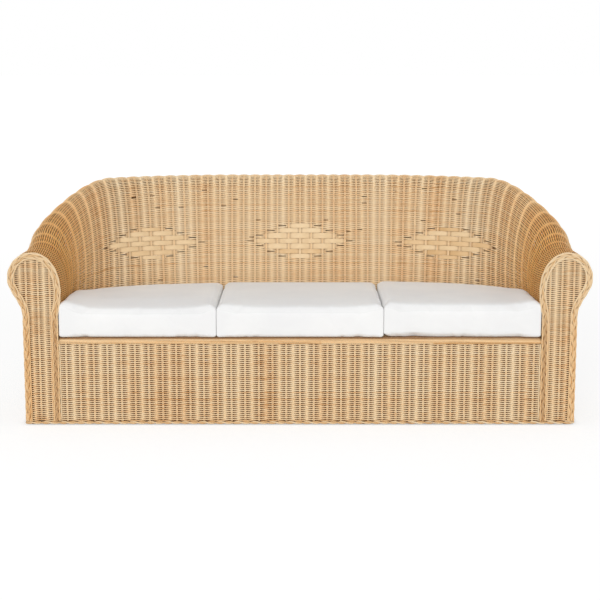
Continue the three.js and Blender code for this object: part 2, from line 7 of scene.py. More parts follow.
import bpy
import numpy as np
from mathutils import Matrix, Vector


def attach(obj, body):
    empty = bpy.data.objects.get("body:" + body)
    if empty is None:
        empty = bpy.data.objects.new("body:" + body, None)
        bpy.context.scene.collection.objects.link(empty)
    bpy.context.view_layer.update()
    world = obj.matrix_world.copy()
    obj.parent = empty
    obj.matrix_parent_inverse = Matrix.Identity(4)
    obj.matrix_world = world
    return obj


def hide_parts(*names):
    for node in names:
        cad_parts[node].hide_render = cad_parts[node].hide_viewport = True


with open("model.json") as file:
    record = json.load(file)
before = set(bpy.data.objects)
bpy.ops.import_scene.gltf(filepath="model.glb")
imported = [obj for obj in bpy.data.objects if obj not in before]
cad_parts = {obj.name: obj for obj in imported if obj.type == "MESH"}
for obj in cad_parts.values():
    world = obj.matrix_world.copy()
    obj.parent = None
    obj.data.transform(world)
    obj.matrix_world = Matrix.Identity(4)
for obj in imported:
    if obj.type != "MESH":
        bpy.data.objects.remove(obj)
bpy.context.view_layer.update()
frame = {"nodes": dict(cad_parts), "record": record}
luck = np.random.default_rng(7)

# The seat line in plan, and the two sections that the woven wall turns between
sofa = {
    "seatWidth": 1.704, "seatDepth": 0.556, "backStraight": 0.5, "cornerDepth": 0.31, "deckUp": 0.318,
    "centreShift": 0.365, "skin": 0.01, "weaveFoot": 0.0143, "panelTop": 0.2985,
    "riseShares": (0.104, 0.4355), "leanShares": (0.2592, 0.7849), "rollShares": (0.0341, 0.195),
}
armSection = {
    "waistShare": 0.2706, "bulgeIn": 0.036, "bulgeShare": 0.6865, "crownHandle": 0.075, "ridgeOut": 0.087,
    "ridgeUp": 0.621, "rollOut": 0.087, "rollDrop": 0.093, "underHandle": 0.048, "neckDrop": 0.226,
    "neckHandle": 0.05, "wallOut": 0.124,
}
backSection = {
    "waistShare": 0.1589, "bulgeIn": -0.054, "bulgeShare": 0.5465, "crownHandle": 0.072, "ridgeOut": 0.13,
    "ridgeUp": 0.834, "rollOut": 0.05, "rollDrop": 0.055, "underHandle": 0.038, "neckDrop": 0.184,
    "neckHandle": 0.05, "wallOut": 0.157,
}
halfSeat, halfStraight = sofa["seatWidth"] / 2, sofa["backStraight"] / 2
cornerWide, cornerStart = halfSeat - halfStraight, sofa["seatDepth"] - sofa["cornerDepth"]


# Seat line and section

def smooth(x, low, high):
    t = np.clip((x - low) / (high - low), 0, 1)
    return t * t * (3 - 2 * t)


def unit(v):
    return v / np.maximum(np.linalg.norm(v, axis=-1, keepdims=True), 1e-12)


def lengthAlong(line):  # how far along its line each point lies
    return np.r_[0, np.cumsum(np.linalg.norm(np.diff(line, axis=0), axis=1))]


def withHeights(section):
    climb = section["ridgeUp"] - sofa["deckUp"]
    return section | {
        "waistUp": sofa["deckUp"] + section["waistShare"] * climb,
        "bulgeUp": sofa["deckUp"] + section["bulgeShare"] * climb,
        "neckUp": section["ridgeUp"] - section["neckDrop"],
    }


def halfSeatLine(steps=3000):
    turn = np.linspace(math.pi, math.pi / 2, steps)
    across, back = cornerWide * np.cos(turn) - halfStraight, sofa["cornerDepth"] * np.sin(turn) + cornerStart
    points = np.r_[[[-halfSeat, 0]], np.c_[across, back], [[0, sofa["seatDepth"]]]]
    return lengthAlong(points), points


def seatBack(x):  # how deep the seat is at that place across it
    past = max(0.0, abs(x) - halfStraight) / cornerWide
    return cornerStart + sofa["cornerDepth"] * math.sqrt(max(0.0, 1 - past * past))


lineRun, linePoints = halfSeatLine()
halfRun = lineRun[-1]
armEnd, backMiddle = withHeights(armSection), withHeights(backSection)


def seatPoint(run, reach=5e-4):  # a point of the seat line, and the line's course there
    near = np.minimum(run, 2 * halfRun - run)
    side = np.where(run > halfRun, -1.0, 1.0)
    at = lambda r, axis: np.interp(r, lineRun, linePoints[:, axis])
    ahead, behind = np.minimum(near + reach, halfRun), np.maximum(near - reach, 0)
    course = np.stack([at(ahead, 0) - at(behind, 0), side * (at(ahead, 1) - at(behind, 1))], -1)
    return at(near, 0) * side, at(near, 1), unit(course)


def place(run, out, up):  # out is square to the seat line, away from the seat
    run, out, up = np.broadcast_arrays(run, out, up)
    x, y, course = seatPoint(run)
    return np.stack([x - course[..., 1] * out, y + course[..., 0] * out - sofa["centreShift"], up], -1)


def wayOut(run):  # square to the seat line, away from the seat
    return place(run, 1.0, 0.0) - place(run, 0.0, 0.0)


def shareAt(run):  # 0 at the front of an arm, 1 in the middle of the back
    return np.minimum(run, 2 * halfRun - run) / halfRun


def sectionAt(run):
    share = shareAt(run)
    rise, lean, tighten = (smooth(share, *sofa[name]) for name in ("riseShares", "leanShares", "rollShares"))
    weight = lambda key: rise if key.endswith("Up") else tighten if key.startswith("roll") else lean
    return {key: armEnd[key] + (backMiddle[key] - armEnd[key]) * weight(key) for key in armEnd}


def bend(a, b, c, d, t):
    return a * (1 - t) ** 3 + 3 * b * t * (1 - t) ** 2 + 3 * c * t * t * (1 - t) + d * t ** 3


# The wall's visible face from the seat deck (mark 0) over the ridge (mark 1) to the neck (mark 2)
def profileAt(run):
    s = {key: value[:, None] for key, value in sectionAt(run).items()}
    ridgeOut, ridgeUp, wallOut, neckUp = (s[key] for key in ("ridgeOut", "ridgeUp", "wallOut", "neckUp"))
    browOut, browUp = ridgeOut + s["rollOut"], ridgeUp - s["rollDrop"]
    foot, t, turn, under = (np.linspace(*span)[None] for span in (
        (0, 0.98, 16), (0, 1, 90), (0.03, math.pi / 2, 40), (0.03, 1, 40)))
    nil = 0 * browUp
    out = np.hstack([
        nil + 0 * foot, bend(nil, -s["bulgeIn"], ridgeOut - s["crownHandle"], ridgeOut, t),
        ridgeOut + s["rollOut"] * np.sin(turn), bend(browOut, browOut, wallOut, wallOut, under)])
    up = np.hstack([
        sofa["deckUp"] + (s["waistUp"] - sofa["deckUp"]) * foot,
        bend(s["waistUp"], s["bulgeUp"], ridgeUp, ridgeUp, t), browUp + s["rollDrop"] * np.cos(turn),
        bend(browUp, browUp - s["underHandle"], neckUp + s["neckHandle"], neckUp, under)])
    steps = np.hypot(np.diff(out, prepend=out[:, :1]), np.diff(up, prepend=up[:, :1]))
    length = np.cumsum(steps, axis=1)
    ridge = foot.size + t.size - 1
    first, last = length[:, ridge:ridge + 1], length[:, -1:]
    mark = np.where(length <= first, length / first, 1 + (length - first) / (last - first))
    return out, up, mark, first[:, 0], (last - first)[:, 0]


def skinGrid(run, marks):  # points in the middle of the woven skin, and the way out of it, by run and row
    out, up, mark, *_ = profileAt(run)
    acrossOut, acrossUp = -np.gradient(up, axis=1), np.gradient(out, axis=1)
    size = np.hypot(acrossOut, acrossUp)
    pick = lambda table: np.array([np.interp(m, k, v) for m, k, v in zip(marks, mark, table)])
    o, u, no, nu = (pick(table) for table in (out, up, acrossOut / size, acrossUp / size))
    runs = np.broadcast_to(run[:, None], o.shape)
    points = place(runs, o - no * sofa["skin"] / 2, u - nu * sofa["skin"] / 2)
    return points, unit(place(runs, o + no, u + nu) - place(runs, o, u))


# Finishes

class Wire:  # a socket of a shader tree, with maths written as it is read
    def __init__(self, tree, socket=None):
        self.tree, self.socket = tree, socket

    def node(self, kind, settings=None, inputs=None, output=0):
        made = self.tree.nodes.new(kind)
        for name, value in (settings or {}).items():
            if name == "stops":
                ramp = made.color_ramp.elements
                ramp.remove(ramp[1])
                ramp[0].position = value[0][0]
                for position, _ in value[1:]:
                    ramp.new(position)
                for element, (_, colour) in zip(ramp, value):
                    element.color = (*colour, 1)
            else:
                setattr(made, name, value)
        for name, value in (inputs or {}).items():
            if isinstance(value, Wire):
                self.tree.links.new(value.socket, made.inputs[name])
            else:
                made.inputs[name].default_value = value
        return Wire(self.tree, made.outputs[output])

    def output(self, name):  # another output of the same node
        return Wire(self.tree, self.socket.node.outputs[name])

    def maths(self, operation, first, second=0.0):
        return self.node("ShaderNodeMath", {"operation": operation}, {0: first, 1: second})

    def __add__(self, other):
        return self.maths("ADD", self, other)

    def __radd__(self, other):
        return self.maths("ADD", other, self)

    def __sub__(self, other):
        return self.maths("SUBTRACT", self, other)

    def __rsub__(self, other):
        return self.maths("SUBTRACT", other, self)

    def __mul__(self, other):
        return self.maths("MULTIPLY", self, other)

    def __rmul__(self, other):
        return self.maths("MULTIPLY", other, self)

    def value(self, name):
        return self.node("ShaderNodeAttribute", {"attribute_name": name}, output="Fac")

    def vector(self, x, y, z):
        return self.node("ShaderNodeCombineXYZ", inputs={0: x, 1: y, 2: z})

    def spot(self):  # where a point of the piece is
        return self.node("ShaderNodeTexCoord", output="Object")

    def noise(self, scale, detail=2.0):
        return self.node("ShaderNodeTexNoise", inputs={"Vector": self, "Scale": scale, "Detail": detail})

    def cells(self, scale):
        return self.node("ShaderNodeTexVoronoi", inputs={"Vector": self, "Scale": scale}, output="Distance")

    def waves(self, direction, scale, distortion=0.0):
        inputs = {"Vector": self, "Scale": scale, "Distortion": distortion}
        return self.node("ShaderNodeTexWave", {"bands_direction": direction}, inputs, 1)

    def spread(self, low, high):  # this value's stretch from low to high, as 0 to 1
        return self.node("ShaderNodeMapRange", {"clamp": True}, {0: self, 1: low, 2: high})

    def colours(self, *stops):
        return self.node("ShaderNodeValToRGB", {"stops": stops}, {0: self})

    def mix(self, share, other, blend="MIX"):
        other = other if isinstance(other, Wire) else (*other[:3], 1)
        return self.node("ShaderNodeMix", {"data_type": "RGBA", "blend_type": blend, "clamp_factor": True},
                         {0: share, 6: self, 7: other}, output=2)

    def bump(self, strength, distance):  # this value as a height
        inputs = {"Strength": strength, "Distance": distance, "Height": self}
        return self.node("ShaderNodeBump", inputs=inputs)


def newFinish(name, **constants):
    material = bpy.data.materials.new(name)
    material.use_nodes = True
    shader = material.node_tree.nodes["Principled BSDF"]
    for key, value in constants.items():
        shader.inputs[key.replace("_", " ")].default_value = value
    return material, shader, Wire(material.node_tree)


def feed(shader, **wires):
    for key, wire in wires.items():
        wire.tree.links.new(wire.socket, shader.inputs[key.replace("_", " ")])


def paint(r, g, b):  # a colour written as a picture shows it, 0 to 255
    return tuple(((c / 255 + 0.055) / 1.055) ** 2.4 if c > 10 else c / 3294 for c in (r, g, b))


# Each cane's own colours are pale, bright, warm and brown
cane = {
    "weave": (paint(248, 221, 178), paint(253, 234, 200), paint(243, 205, 156), paint(216, 166, 108)),
    "border": (paint(238, 212, 172), paint(245, 224, 188), paint(232, 200, 154), paint(214, 172, 118)),
    "splint": (paint(229, 202, 160), paint(235, 211, 172), paint(226, 195, 150), paint(214, 178, 128)),
    # The grain and scar colours are the cane's own; the two darkest colours are painted shade for the weave's
    # gaps and hollows
    "grain": paint(182, 130, 78), "scar": paint(134, 88, 46), "paintedShadeColour": paint(118, 74, 38),
    "paintedHollowShade": paint(50, 31, 17), "amber": (0.985, 0.645, 0.22), "drift": 0.7, "grainShare": 0.3,
    "scarShare": 0.55, "paintedShadeShare": 0.85, "roughness": 0.4, "fibreDepth": 0.00006,
}


def caneFinish(name, colours):
    material, shader, wire = newFinish(name, IOR=1.45)
    tone, deep, along, around = (wire.value(key) for key in ("tone", "deep", "along", "around"))
    drift = wire.vector(along * 9.0, tone * 31.0, around * 0.8).noise(1.0, 3.0)
    fibre = wire.vector(along * 60.0, around * 22.0, tone * 17.0).noise(1.0, 2.0)
    scar = wire.vector(along * 14.0, tone * 53.0, 0.3).noise(1.0, 1.0).spread(0.72, 0.8)
    pale, bright, warm, brown = colours
    mixed = tone + (drift - 0.5) * cane["drift"]
    mixed = mixed.colours((0.05, brown), (0.3, warm), (0.55, pale), (0.95, bright))
    mixed = mixed.mix((fibre - 0.35) * cane["grainShare"], cane["grain"])
    mixed = mixed.mix(scar * cane["scarShare"], cane["scar"])
    # Amber is multiplied in: a slight tint, and on the arms' insides and roll painted warm shade of light
    # bounced in the recess
    mixed = mixed.mix(wire.value("amber"), cane["amber"], "MULTIPLY")
    # Painted shade: the shade attribute darkens a cane towards the crevice colour, and past 1 towards the
    # near-black hollow colour
    mixed = mixed.mix(deep * cane["paintedShadeShare"], cane["paintedShadeColour"]).mix(deep - 1, cane["paintedHollowShade"])
    feed(shader, Base_Color=mixed, Roughness=fibre * 0.25 + cane["roughness"],
         Normal=fibre.bump(0.6, cane["fibreDepth"]))
    return material


weaveCane = caneFinish("rattanCane", cane["weave"])
splintCane = caneFinish("rattanSplint", cane["splint"])
borderCane = caneFinish("rattanBorder", cane["border"])


# Strands

def roundSection(corners):
    angle = (np.arange(corners) + 0.5) * 2 * math.pi / corners
    return np.stack([np.cos(angle), np.sin(angle)], 1)


roundCane, stoutCane = roundSection(5), roundSection(8)
flatSplint = np.array([
    (1, -0.4), (1, 0.4), (0.86, 1), (-0.86, 1), (-1, 0.4), (-1, -0.4), (-0.86, -1), (0.86, -1)])


def added(name, data):  # a new object in the scene
    made = bpy.data.objects.new(name, data)
    bpy.context.scene.collection.objects.link(made)
    return made


def makeObject(name, points, corners, sizes, finish=None, uv=None, values=None, smoothed=True):
    mesh = bpy.data.meshes.new(name)
    mesh.vertices.add(len(points))
    mesh.vertices.foreach_set("co", np.asarray(points, np.float32).ravel())
    mesh.loops.add(len(corners))
    mesh.loops.foreach_set("vertex_index", np.asarray(corners, np.int32))
    mesh.polygons.add(len(sizes))
    mesh.polygons.foreach_set("loop_start", np.r_[0, np.cumsum(sizes)[:-1]].astype(np.int32))
    mesh.polygons.foreach_set("use_smooth", np.full(len(sizes), smoothed))
    if uv is not None:
        mesh.uv_layers.new(name="OFBake").data.foreach_set("uv", np.asarray(uv, np.float32).ravel())
    for key, value in (values or {}).items():
        mesh.attributes.new(key, "FLOAT", "POINT").data.foreach_set("value", np.asarray(value, np.float32))
    mesh.update(calc_edges=True)
    if finish:
        mesh.materials.append(finish)
    return added(name, mesh)


# A strand is its line, the way out of the weave, half its width and thickness, its tone, its painted shade,
# and its amber (a slight tint, and painted warm shade on the arms)
def strand(line, lift, wide, tall, tone, deep=0.0, amber=0.0):
    spread = lambda value: np.broadcast_to(np.asarray(value, float), len(line))
    return line, np.broadcast_to(lift, line.shape), *map(spread, (wide, tall, tone, deep, amber))


def strandMesh(name, strands, finish, ring, smoothed):
    sides = len(ring)
    across = np.arange(sides)
    lengths = [lengthAlong(line) for line, *_ in strands]
    longest = max(along[-1] for along in lengths)
    points, corners, sizes, uv = [], [], [], []
    values = {"tone": [], "deep": [], "amber": [], "along": []}
    first = 0
    for index, ((line, lift, wide, tall, *looks), along) in enumerate(zip(strands, lengths)):
        count = len(line)
        ahead = unit(np.gradient(line, axis=0))
        side = unit(np.cross(ahead, lift))
        rise = np.cross(side, ahead)
        points.append((line[:, None] + side[:, None] * (wide[:, None] * ring[:, 0])[..., None]
                       + rise[:, None] * (tall[:, None] * ring[:, 1])[..., None]).reshape(-1, 3))
        for key, value in zip(values, (*looks, along)):
            values[key].append(np.repeat(value, sides))
        i, j = np.meshgrid(np.arange(count - 1), across, indexing="ij")
        beside, near, far = (j + 1) % sides, first + i * sides, first + (i + 1) * sides
        quads = np.stack([near + j, far + j, far + beside, near + beside], -1)
        last = first + (count - 1) * sides
        corners += [quads.ravel(), first + across, last + across[::-1]]
        sizes += [np.full(quads.shape[0] * sides, 4), [sides, sides]]
        # Each strand has a band of its own in the UV map
        u, high = along / longest, lambda k: (index + 0.04 + 0.92 * k / sides) / len(strands)
        quadU = np.stack([u[i], u[i + 1], u[i + 1], u[i]], -1)
        quadV = np.stack([high(j), high(j), high(j + 1), high(j + 1)], -1)
        uv += [np.stack([quadU, quadV], -1).reshape(-1, 2), np.tile([u[0], high(0)], (sides, 1)),
               np.tile([u[-1], high(0)], (sides, 1))]
        first += count * sides
    values = {key: np.concatenate(value) for key, value in values.items()}
    values["around"] = np.tile(across / sides, first // sides)
    return makeObject(name, np.concatenate(points), np.concatenate(corners), np.concatenate(sizes), finish,
                      np.concatenate(uv), values, smoothed)


# Strands become pieces of no more than about 170,000 triangles, each standing for the same node
def layStrands(name, strands, finish, node, ring=roundCane, smoothed=True,
               limit=170000):
    batches, load = [[]], 0
    for item in strands:
        cost = 2 * len(item[0]) * len(ring)
        if load + cost > limit:
            batches.append([])
            load = 0
        batches[-1].append(item)
        load += cost
    for number, batch in enumerate(batches, 1):
        piece = strandMesh(name if len(batches) == 1 else f"{name}_{number}", batch, finish, ring, smoothed)
        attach(piece, "frame")
        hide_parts(node)
    print(f"{name}: {len(strands)} strands, {len(batches)} pieces")


def layBorder(name, strands, node):
    layStrands(name, strands, borderCane, node, stoutCane)


# The weave's rule: rows pass in front of one pair of stakes and behind the next

stakes = {
    "pitch": 0.04396, "thick": 0.004, "apart": 0.0037, "pairsEachSide": 27,
    "innerTones": (0.5, 0.1, 0.05), "outerTones": (0.6, 0.12, 0.0), "armShade": 0.75,
    "underRows": 0.002, "overNeck": 0.006,
}
rows = {
    "pitch": 0.00364, "onBack": 148, "onRoll": 66, "keptShare": 0.63, "fill": 0.5, "rollFill": 1.05,
    "stepsPerPitch": 6, "least": 0.0009, "most": 0.0023, "foot": 0.0145, "overNeck": 0.004,
    "startShare": 0.22, "startSpread": 0.14, "jointEvery": 1.5, "rounder": 0.15,
    "flatness": 0.8, "wide": 1.1, "pinch": 0.13, "fan": 0.55,
    # Painted shade where rows dive behind the stakes, sooner and stronger on the arms
    "shadeFrom": 0.3, "shadeFull": 0.8, "armSooner": (0.4, 0.35), "shadeOnBack": 0.6, "moreOnArm": 0.8,
    "middleTone": 0.55, "toneSpread": 0.1, "columnSpread": 0.12, "paintedLightBetween": 0.16,
}
diamonds = {
    "centres": (-13, 0, 13), "firstRows": (55, 54, 55),
    "halfSpans": (1.25, 2.25, 3.25, 3.95, 3.25, 2.25, 1.25),
    "rowsEach": ((4, 5, 5, 5, 5, 5, 4), (5, 5, 6, 5, 6, 5, 5), (4, 5, 5, 5, 5, 5, 4)),
    "thick": 0.0014, "slit": 0.66, "overlap": 0.09, "proud": 0.0008, "gap": 0.0003, "taper": 0.15,
    "taperOver": 0.8, "stepsPerPitch": 24, "tone": (0.5, 0.22), "diveShade": 0.38, "diveShadeAt": (0.72, 0.95),
    "amber": 0.1,
}
loose = {"count": 34, "reach": 0.21, "within": 0.62, "rowsFrom": 6, "rowsShort": 8}  # single slipped rows
# On the arms the weave gets more painted shade in its gaps, and more amber, which is painted warm shade; both
# fade towards the back
armLook = {  # the arms' weave is darker in its gaps and more amber, which fades towards the back
    "fade": (0.2, 0.62), "warmShadeFade": (0.16, 0.46), "leastAmber": 0.06, "moreWarmShade": 0.76,
    "rollAmberAndShade": 0.9, "rollFade": (1, 1.4),
}


def rowTone(length, spread=0.2):  # one tone for each cane of a row, which is joined here and there
    joins = np.sort(luck.uniform(0, length[-1] + 1e-6, luck.poisson(length[-1] / rows["jointEvery"])))
    tones = np.clip(luck.normal(rows["middleTone"], spread, len(joins) + 1), 0.02, 0.98)
    return tones[np.searchsorted(joins, length)]


def runsOf(present):  # first and last index of each unbroken stretch
    edges = np.flatnonzero(np.diff(np.r_[0, present.astype(np.int8), 0]))
    return [(a, b) for a, b in zip(edges[::2], edges[1::2]) if b - a > 3]


def waveOf(pitches, odd):  # which side of the stakes a row lies on, 1 in front of a pair and -1 behind it
    turn = np.cos(math.pi * pitches) * np.where(odd, -1, 1)
    return turn + rows["rounder"] * (turn - turn ** 3)


# A row's swing, half its width and thickness, and its painted shade where it dives behind a pair, at that
# wave on an arm (1) or the back (0)
def weaverAt(wave, radius, onArm=0.5):
    tall = rows["flatness"] * radius
    wide = radius * (rows["wide"] - rows["pinch"] * np.maximum(wave, 0) + rows["fan"] * np.maximum(-wave, 0))
    startSooner, fullSooner = (share * np.maximum(0, 2 * onArm - 1) for share in rows["armSooner"])
    shade = smooth(-wave, rows["shadeFrom"] - startSooner, rows["shadeFull"] - fullSooner)
    shade = shade * np.minimum(1, rows["shadeOnBack"] + rows["moreOnArm"] * onArm)
    return wave * (stakes["thick"] / 2 + tall), wide, tall, shade


columnTones = luck.normal(0, rows["columnSpread"], 120)


# Painted highlight: rows are paler where they cross between the stakes; the unevenness from pair to pair is
# the canes' own tone
def toneAcross(pitches, shift=0):  # paler between the stakes, and uneven from one pair to the next
    column = np.interp(pitches, np.arange(-60, 60) + 0.5, np.roll(columnTones, shift))
    return column + rows["paintedLightBetween"] * (0.5 - np.cos(math.pi * pitches) ** 2)


def wallRuns(margin=0.006, least=0.002):  # six places to each pitch, and the two ends
    inner = halfRun + stakes["pitch"] / rows["stepsPerPitch"] * np.arange(-400, 401)
    low, high = margin, 2 * halfRun - margin
    return np.r_[low, inner[(inner > low + least) & (inner < high - least)], high]


def backRows(run):  # each row's mark at each run, and where it is there at all
    units = rows["onBack"] // 2
    order = np.arange(units)
    kept = np.floor((order + 1) * rows["keptShare"]) > np.floor(order * rows["keptShare"])
    rank = np.cumsum(kept) - kept
    onArm = np.where(kept, rank + 0.5, rank) / kept.sum()
    marks, present = [], []
    length = profileAt(run)[3]
    armLength, backLength = profileAt(np.array([0.0, halfRun]))[3]
    share = np.clip((length - armLength) / (backLength - armLength), 0, 1)
    starts = rows["startShare"] + luck.uniform(-rows["startSpread"], rows["startSpread"], units)
    for unitNumber in order:
        for half in (-0.25, 0.25):
            low = onArm[unitNumber] + (half / kept.sum() if kept[unitNumber] else 0)
            high = (unitNumber + 0.5 + half) / units
            marks.append(low + (high - low) * share)
            present.append(np.full(len(run), True) if kept[unitNumber] else share > starts[unitNumber])
    return np.stack(marks, 1), np.stack(present, 1), length


def rowRadius(marks, present, length):  # half the room between a row's neighbours
    gaps = []
    for flip in (1, -1):
        last = np.full(len(marks), 0.0 if flip > 0 else 1.0)
        gap = np.zeros_like(marks)
        for k in range(marks.shape[1])[::flip]:
            gap[:, k] = np.abs(marks[:, k] - last)
            last = np.where(present[:, k], marks[:, k], last)
        gaps.append(gap)
    return np.clip(rows["fill"] * (gaps[0] + gaps[1]) / 2 * length[:, None], rows["least"], rows["most"])


def wovenRows(points, lifts, radius, present, phase, amber=0.0, onArm=0.5):
    strands = []
    radius, present = (np.broadcast_to(value, points.shape[:2]) for value in (radius, present))
    for k in range(points.shape[1]):
        swing, wide, tall, deep = weaverAt(waveOf(phase, k % 2), radius[:, k], onArm)
        line = points[:, k] + lifts[:, k] * swing[:, None]
        tone = rowTone(lengthAlong(points[:, k]), rows["toneSpread"]) + toneAcross(phase)
        amberAndShadeHere = np.broadcast_to(amber if np.ndim(amber) < 2 else amber[:, k], tone.shape)
        for a, b in runsOf(present[:, k]):
            stretch = (value[a:b] for value in (line, lifts[:, k], wide, tall, tone, deep, amberAndShadeHere))
            strands.append(strand(*stretch))
    return strands


def levels(top):  # the heights of level rows, from the foot of the weave
    return np.arange(rows["foot"] + rows["pitch"] / 2, top, rows["pitch"])


def pairAt(at):  # the two stakes of a pair
    return at - stakes["apart"] / 2, at + stakes["apart"] / 2


def stake(line, lift, tones=stakes["outerTones"], shade=0.0, amber=0.0):
    middle, spread, least = tones
    tone = np.clip(luck.normal(middle, spread), least, 1 - least)
    return strand(line, lift, stakes["thick"] / 2, stakes["thick"] / 2, tone, shade, amber)


# The inside of the arms and back, its roll, and the three woven diamonds

runs = wallRuns()
phase = (runs - halfRun) / stakes["pitch"]
marks, present, length = backRows(runs)
points, lifts = skinGrid(runs, marks)
radii = rowRadius(marks, present, length)
splints = []
for centre, low, counts in zip(diamonds["centres"], diamonds["firstRows"], diamonds["rowsEach"]):
    for m, (halfSpan, count) in enumerate(zip(diamonds["halfSpans"], counts)):
        high = low + count
        inside = np.abs(phase - centre) < halfSpan - diamonds["overlap"]
        present[np.ix_(np.flatnonzero(inside), range(low, high))] = False
        slit = np.abs(phase - centre) < halfSpan + diamonds["slit"]
        present[slit, low + count // 2] = False
        aside = np.linspace(-halfSpan, halfSpan, round(diamonds["stepsPerPitch"] * halfSpan) + 1)
        fine = halfRun + stakes["pitch"] * (centre + aside)
        foot, top = (np.interp(fine, runs, marks[:, k]) for k in (low, high - 1))
        line, lift = (grid[:, 0] for grid in skinGrid(fine, ((foot + top) / 2)[:, None]))
        half = (top - foot) / 2 * np.interp(fine, runs, length) + rows["pitch"] / 2 - diamonds["gap"]
        taper = smooth(np.abs(aside), halfSpan - diamonds["taperOver"], halfSpan)
        half = half * (1 - diamonds["taper"] * taper)
        wave = waveOf(aside, m % 2)
        swing = wave * (stakes["thick"] + diamonds["thick"]) / 2 + diamonds["proud"]
        # Painted shade on the splint where it dives behind a pair
        diveShade = diamonds["diveShade"] * smooth(-wave, *diamonds["diveShadeAt"])  # where it dives behind a pair
        tone = np.clip(luck.normal(*diamonds["tone"]), 0.05, 0.95)
        splints.append(strand(line + lift * swing[:, None], lift, half, diamonds["thick"] / 2, tone, diveShade,
                              diamonds["amber"]))
        low = high
for _ in range(loose["count"]):
    row = luck.integers(loose["rowsFrom"], rows["onBack"] - loose["rowsShort"])
    spot = luck.uniform(phase[0] * loose["within"], phase[-1] * loose["within"])
    present[np.abs(phase - round(spot * 2) / 2 - 0.25) < loose["reach"], row] = False
onArm = 1 - smooth(shareAt(runs), *armLook["fade"])
# A slight amber tint everywhere, and much more on the arms as painted warm shade
amber = armLook["leastAmber"] + armLook["moreWarmShade"] * (1 - smooth(shareAt(runs), *armLook["warmShadeFade"]))
skin = wovenRows(points, lifts, radii, present, phase, amber, onArm)

rollLength = profileAt(runs)[4][:, None]
rollMarks = np.tile(1 + (np.arange(rows["onRoll"]) + 0.5) / rows["onRoll"], (len(runs), 1))
rollRadius = rows["rollFill"] * rows["fill"] * rollLength / rows["onRoll"]
rollRadius = np.clip(rollRadius, rows["least"], rows["most"])
# The roll keeps the amber and painted warm shade of the wall below, fading over its ridge
rollAmberAndShade = armLook["rollAmberAndShade"] * amber[:, None] * (1 - smooth(rollMarks, *armLook["rollFade"]))
skin += wovenRows(*skinGrid(runs, rollMarks), rollRadius, True, phase, rollAmberAndShade, onArm)
layStrands("inner_rows", skin, weaveCane, "inner_weave")

pairRuns = halfRun + stakes["pitch"] * np.arange(-stakes["pairsEachSide"], stakes["pairsEachSide"] + 1)
stakeMarks = np.linspace(0, 2, 150)[None]
pairAmberAndShade, pairsOnArm = np.interp(pairRuns, runs, amber), np.interp(pairRuns, runs, onArm)
innerStakes = []
# On the arms the stakes get painted shade (armShade), and the amber of painted warm shade
for run, amberAndShadeHere, arm in zip(pairRuns, pairAmberAndShade, pairsOnArm):
    for at in pairAt(run):
        line, lift = skinGrid(np.array([at]), stakeMarks)
        innerStakes.append(stake(line[0], lift[0], stakes["innerTones"], stakes["armShade"] * arm, amberAndShadeHere))
layStrands("inner_stakes", innerStakes, weaveCane, "inner_weave")
layStrands("diamond_splints", splints, splintCane, "inner_weave", ring=flatSplint, smoothed=False)

# The outside wall, level rows up to the neck of the roll

sections = sectionAt(runs)
heights = levels(backMiddle["neckUp"] + rows["overNeck"])
outside = place(runs[:, None], sections["wallOut"][:, None] - sofa["skin"] / 2, heights[None])
outward = np.broadcast_to(wayOut(runs)[:, None], outside.shape)
standing = heights[None] < sections["neckUp"][:, None] + rows["overNeck"]
outerRows = wovenRows(outside, outward, rows["pitch"] * rows["fill"], standing, phase)
layStrands("outer_rows", outerRows, weaveCane, "outer_weave")
outerStakes = []
for run in pairRuns:
    for at in pairAt(run):
        here = {key: value[0] for key, value in sectionAt(np.array([at])).items()}
        up = np.linspace(rows["foot"] - stakes["underRows"], here["neckUp"] + stakes["overNeck"], 12)
        outerStakes.append(stake(place(np.full(12, at), here["wallOut"] - sofa["skin"] / 2, up), wayOut(at)))
layStrands("outer_stakes", outerStakes, weaveCane, "outer_weave")

# The front panel below the seat, and the arm fronts

fronts = {
    "panelPitch": sofa["seatWidth"] / 35, "panelPairs": 17, "midDepth": 0.0055, "sideGap": 0.0005,
    "armPairs": (0.027, 0.0685, 0.11, 0.1515), "armMargin": 0.003, "stakeMargin": 0.004, "leastSpan": 0.02,
    "underRidge": 0.004,
    # Painted shade at the far end of each arm-front row, stronger on the right arm
    "hollowShadeFrom": 0.038, "hollowShadeFull": 0.025, "paintedHollowShades": {"left": 0.6, "right": 1.0},
    "panelAmber": 0.04, "armAmber": 0.12, "armAmberFade": (0.34, 0.5), "columnShift": 31,
}
toFront, upward = np.array([0.0, -1.0, 0.0]), np.array([0.0, 0.0, 1.0])


def frontPoints(x, depth, up):
    x, depth, up = np.broadcast_arrays(x, depth, up)
    return np.stack([x, depth - sofa["centreShift"], up], -1)


# Rows across a flat front, each between its own two ends, with more painted shade near the far end, where
# they dive under it
def frontRows(x, pitches, heights, spans, ambers, paintedHollowShade=0.0):
    strands = []
    radius = rows["pitch"] * rows["fill"]
    for k, (up, (low, high), amber) in enumerate(zip(heights, spans, ambers)):
        inside = (x > low + 0.001) & (x < high - 0.001)
        if inside.sum() < 2:
            continue
        xs = np.r_[low, x[inside], high]
        phases = np.interp(xs, x, pitches)
        swing, wide, tall, deep = weaverAt(waveOf(phases, k % 2), radius)
        tone = rowTone(xs - xs[0], rows["toneSpread"]) + toneAcross(phases, fronts["columnShift"])
        deep = deep * (1 + paintedHollowShade * smooth(xs, high - fronts["hollowShadeFrom"], high - fronts["hollowShadeFull"]))
        line = frontPoints(xs, fronts["midDepth"] - swing, up)
        strands.append(strand(line, toFront, wide, tall, tone, deep, amber))
    return strands


def frontStake(x, low, high):
    return stake(frontPoints(x, fronts["midDepth"], np.linspace(low, high, 12)), toFront)


